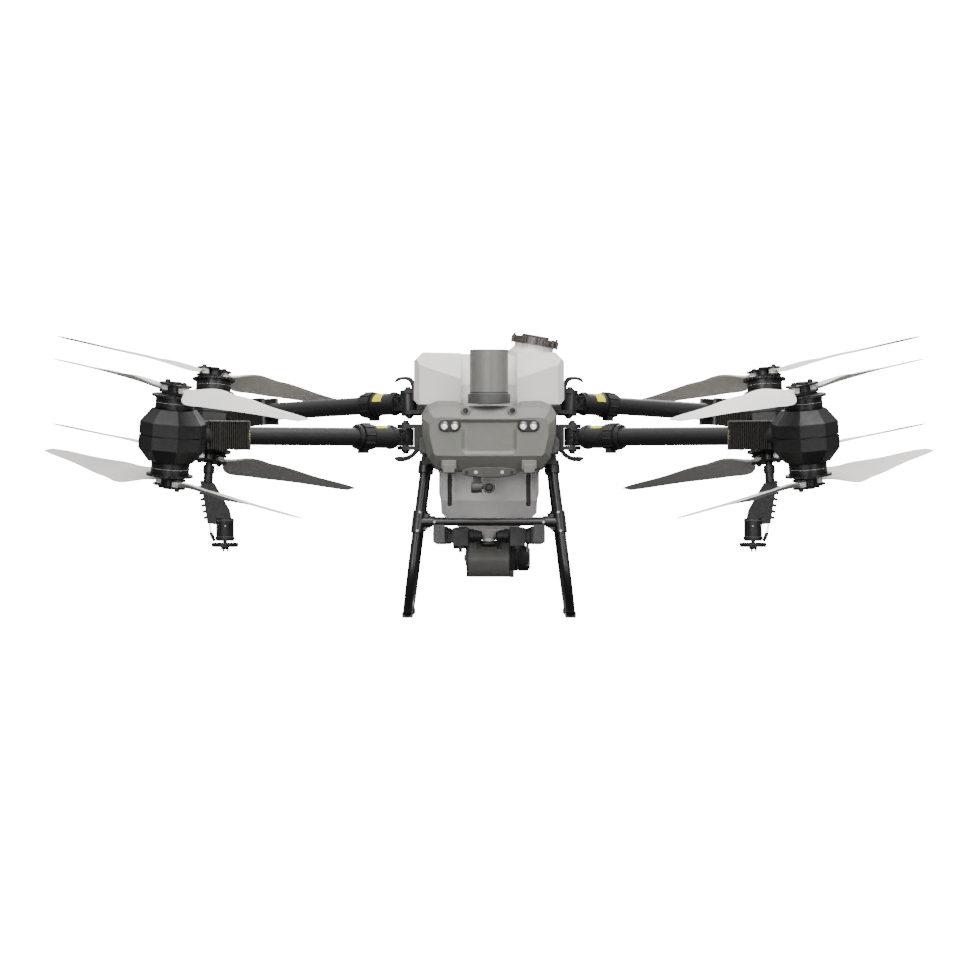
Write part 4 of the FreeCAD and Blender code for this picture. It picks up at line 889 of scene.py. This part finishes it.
def pump_details():
    """Ribbed heads, end blocks with a bolt, and the outlet of the pump set below the tank."""
    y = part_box("pumps")[0][1] / MM + 34
    profile = [(14, 20), (17, 22), (17, 40), (19, 43), (19, 54), (24, 58), (25, 62), (25, 92),
               (23, 95), (20, 96), (20, 104), (23, 106), (23, 116), (21, 118)]
    for side, tag in SIDES:
        head = turned_part("pump_head_" + tag, profile, spot(0, y, 227), (side, 0, 0), 44)
        finish_piece(head, "root", "black_plastic", 0.0008, 2)
        centre = side * PUMP_END_X

        def fill(grid):
            cuboid(grid, (centre - 21, y - 30, 204), (centre + 21, y + 28, 254))
            for z, slope in ((206, -0.7), (250, 0.7)):
                trim(grid, spot(side * 148, 0, z), Vector((side * 0.7, 0, slope)))
        block = build("pump_end_" + tag, fill)
        finish_piece(block, "root", "frame_metal", 0.004, 3)
        bolt = turned_part("pump_screw_" + tag, [(3.4, 0), (3.4, 1.6), (2.4, 2.4)],
                           spot(centre, y - 30, 226), FORWARD, 20)
        finish_piece(bolt, "root", "steel")
    funnel = turned_part("outlet_funnel", [(46, 0), (40, 6), (24, 18), (17, 26), (16, 36)],
                         spot(-1, y + 22, 245), DOWN, 48)
    finish_piece(funnel, "root", "tank_white", 0.0006, 2)
    clamp = turned_part("outlet_clamp", [(26, 0), (27.5, 2), (27.5, 8), (22, 14), (12, 16)],
                        spot(-1, y + 22, 212), DOWN, 44)
    finish_piece(clamp, "root", "black_plastic")


def radar_motor():
    """The black motor, its plate and the end cap of the lying radar."""
    low, high = (Vector(corner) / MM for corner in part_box("rear_radome"))
    y = (low.y + high.y) / 2
    z = low.z + 54
    profile = [(35.6, 60), (35.6, 78), (33.5, 80), (33.5, 82), (35.6, 84), (35.6, 108),
               (34, 112), (30, 113), (30, 116.5), (8, 117)]
    motor = turned_part("radar_motor", profile, spot(0, y, z), (1, 0, 0), 56)
    finish_piece(motor, "root", "rubber", 0.0008, 2)
    profile = [(53.4, 57.5), (54.3, 58.3), (54.3, 70), (53.4, 71)]
    plate = turned_part("radar_plate", profile, spot(0, y, z + 1), (1, 0, 0), 56)
    finish_piece(plate, "root", "rubber")
    profile = [(52, 0), (53.4, 1), (53.4, 5), (9, 6), (9, 11), (4.5, 12)]
    end = turned_part("radar_end", profile, spot(low.x + 10, y, z + 1), (-1, 0, 0), 48)
    finish_piece(end, "root", "radome_base", 0.0006, 2)


def lid_grips():
    """Upright grips around the filler's locking ring."""
    ring = JOINTS["lid_ring"]
    axis = Vector(ring["axis"]).normalized()
    seat = frame_of(Vector(ring["pos_m"]), Vector((0, 1, 0)), axis)
    step = 360 / GRIP_COUNT
    for index in range(GRIP_COUNT):
        place = seat @ Matrix.Rotation(math.radians(step * index + step / 2), 4, "Z")

        def fill(grid):
            cuboid(grid, (60, -9, -9), (67, 9, 11), place)
            cuboid(grid, (56, -5, 9), (63, 5, 19), place)
        grip = build("lid_grip_%d" % (index + 1), fill)
        finish_piece(grip, "lid_ring", "lid_smoke", 0.0018, 3)


# ------------------------------------------------------------------ gear and battery

BAR_RADIUS = 10.5
TEE_BOLTS = ((150, 0, 4), (190, 27, 7), (197, -24, 7))
SOLE_RIBS = 6
BATTERY_RIBS = 9
BATTERY_LIGHTS = 4


def gear_details():
    """Pale bolts on the tees and ribbed rubber soles under the feet."""
    low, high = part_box("cross_tubes")
    front = low[1] / MM
    bar_z = high[2] / MM - BAR_RADIUS
    for side, tag in SIDES:
        for index, (x, z, proud) in enumerate(TEE_BOLTS):
            screw("tee_bolt_%s_%d" % (tag, index + 1), spot(side * x, front - proud, bar_z + z),
                  FORWARD, 3.6, "root", "stripe_white")
    for mount in frame["record"]["mounts"]:
        foot = Matrix.Translation(Vector(mount["pos_m"]))

        def fill(grid):
            for i in range(SOLE_RIBS):
                y = -40 + 14 * i
                cuboid(grid, (-15.2, y, 1), (15.2, y + 9, 15), foot)
        piece = build("sole_" + mount["name"], fill)
        finish_piece(piece, "root", "rubber", 0.0012, 2)


def battery_details():
    """Cooling ribs and a plain charge light on the battery's back."""
    low, high = (Vector(corner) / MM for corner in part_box("battery"))

    def ribs(grid):
        for i in range(BATTERY_RIBS):
            x = -88 + 22 * i
            cuboid(grid, (x, high.y - 1, low.z + 40), (x + 10, high.y + 2.5, low.z + 165))
    piece = build("battery_ribs", ribs)
    finish_piece(piece, "battery", "dark_grey", 0.0012, 2)

    def lights(grid):
        for i in range(BATTERY_LIGHTS):
            x = -24 + 13 * i
            cuboid(grid, (x, high.y - 1, low.z + 205), (x + 8, high.y + 1.2, low.z + 209))
    piece = build("battery_lights", lights)
    finish_piece(piece, "battery", "stripe_white", 0.0004, 2)


# ------------------------------------------------------------------ camera, light and floor

# the white to look at is far brighter than what lights the object
SURROUND = 18.0
FLOOR_GLOW = 0.85
FLOOR_HALF = 30.0
FLOOR_DROP = 0.0005
CAMERA_PLACE = (0.0, -13.987, 0.354)
AIM = (0, 0, 0.45)
# name, place, size and power
LIGHTS = (
    ("key", (0.6, -2.2, 4.5), 4.5, 360),
    ("front", (-3.0, -7.5, 2.4), 4.0, 210),
    ("side", (4.5, -6.0, 1.2), 3.0, 120),
    ("low", (-1.0, -9.0, 0.4), 2.5, 120),
    ("back", (1.0, 5.0, 3.4), 4.0, 110),
)


def camera():
    """A long lens straight in front, level with the nose."""
    data = bpy.data.cameras.new("camera")
    data.lens = 186.4
    data.sensor_width = 36.0
    data.clip_end = 60.0
    data.shift_x = -0.0094
    data.shift_y = 0.0104
    eye = bpy.data.objects.new("camera", data)
    eye.location = CAMERA_PLACE
    eye.rotation_euler = (math.radians(90), 0, 0)
    bpy.context.scene.collection.objects.link(eye)
    bpy.context.scene.camera = eye


def studio_lights():
    """Large soft lamps, all turned to the middle of the aircraft."""
    for name, place, size, power in LIGHTS:
        lamp = bpy.data.lights.new(name, "AREA")
        lamp.size = size
        lamp.energy = power
        item = bpy.data.objects.new(name, lamp)
        item.location = place
        toward = Vector(AIM) - Vector(place)
        item.rotation_euler = toward.to_track_quat("-Z", "Y").to_euler()
        bpy.context.scene.collection.objects.link(item)


def studio_world():
    """A white surround to look at, and a dimmer light from it that fades towards the ground."""
    world = bpy.data.worlds.new("studio")
    bpy.context.scene.world = world
    world.use_nodes = True
    tree = world.node_tree
    seen = tree.nodes["Background"]
    seen.inputs["Color"].default_value = (1, 1, 1, 1)
    seen.inputs["Strength"].default_value = SURROUND
    light = tree.nodes.new("ShaderNodeBackground")
    place = tree.nodes.new("ShaderNodeTexCoord")
    split = tree.nodes.new("ShaderNodeSeparateXYZ")
    link(tree, place, "Generated", split, "Vector")
    fade = value_ramp(tree, split, "Z", 0.10, 0.95, 0.0, 0.9)
    link(tree, fade, "Color", light, "Color")
    path = tree.nodes.new("ShaderNodeLightPath")
    mix = tree.nodes.new("ShaderNodeMixShader")
    link(tree, path, "Is Camera Ray", mix, "Fac")
    link(tree, light, "Background", mix, 1)
    link(tree, seen, "Background", mix, 2)
    link(tree, mix, "Shader", tree.nodes["World Output"], "Surface")


def floor():
    """A plain pale floor that fades into the pale background."""
    corners = ((-1, -1), (1, -1), (1, 1), (-1, 1))

    def fill(grid):
        grid.faces.new([grid.verts.new((x * FLOOR_HALF, y * FLOOR_HALF, 0)) for x, y in corners])
    plane = build("floor", fill)
    pale = moulded("floor_pale", (0.86, 0.86, 0.86), 0.8, 40, 0.02, 0.01)
    shader = pale.node_tree.nodes["Principled BSDF"]
    shader.inputs["Emission Color"].default_value = (1, 1, 1, 1)
    shader.inputs["Emission Strength"].default_value = SURROUND * FLOOR_GLOW
    plane.data.materials.append(pale)
    plane.location.z = -FLOOR_DROP
    plane.visible_diffuse = False
    plane.visible_glossy = False


# ------------------------------------------------------------------ the whole scene

nose()
lamps()
tank()
radome_ring()
camera_details()
storage_clips()
pump_details()
radar_motor()
lid_grips()
for arm in ARM_NAMES:
    root_frame, pod_frame, pod_up, arm_length = arm_frames(arm)
    heat_sink(arm, root_frame, arm_length)
    label_patch(arm, root_frame)
    pod_details(arm, pod_frame, pod_up)
    hinge_details(arm, root_frame)
for lance_side, lance_tag in SIDES:
    lance_details(lance_side, lance_tag)
gear_details()
battery_details()
camera()
studio_lights()
studio_world()
floor()
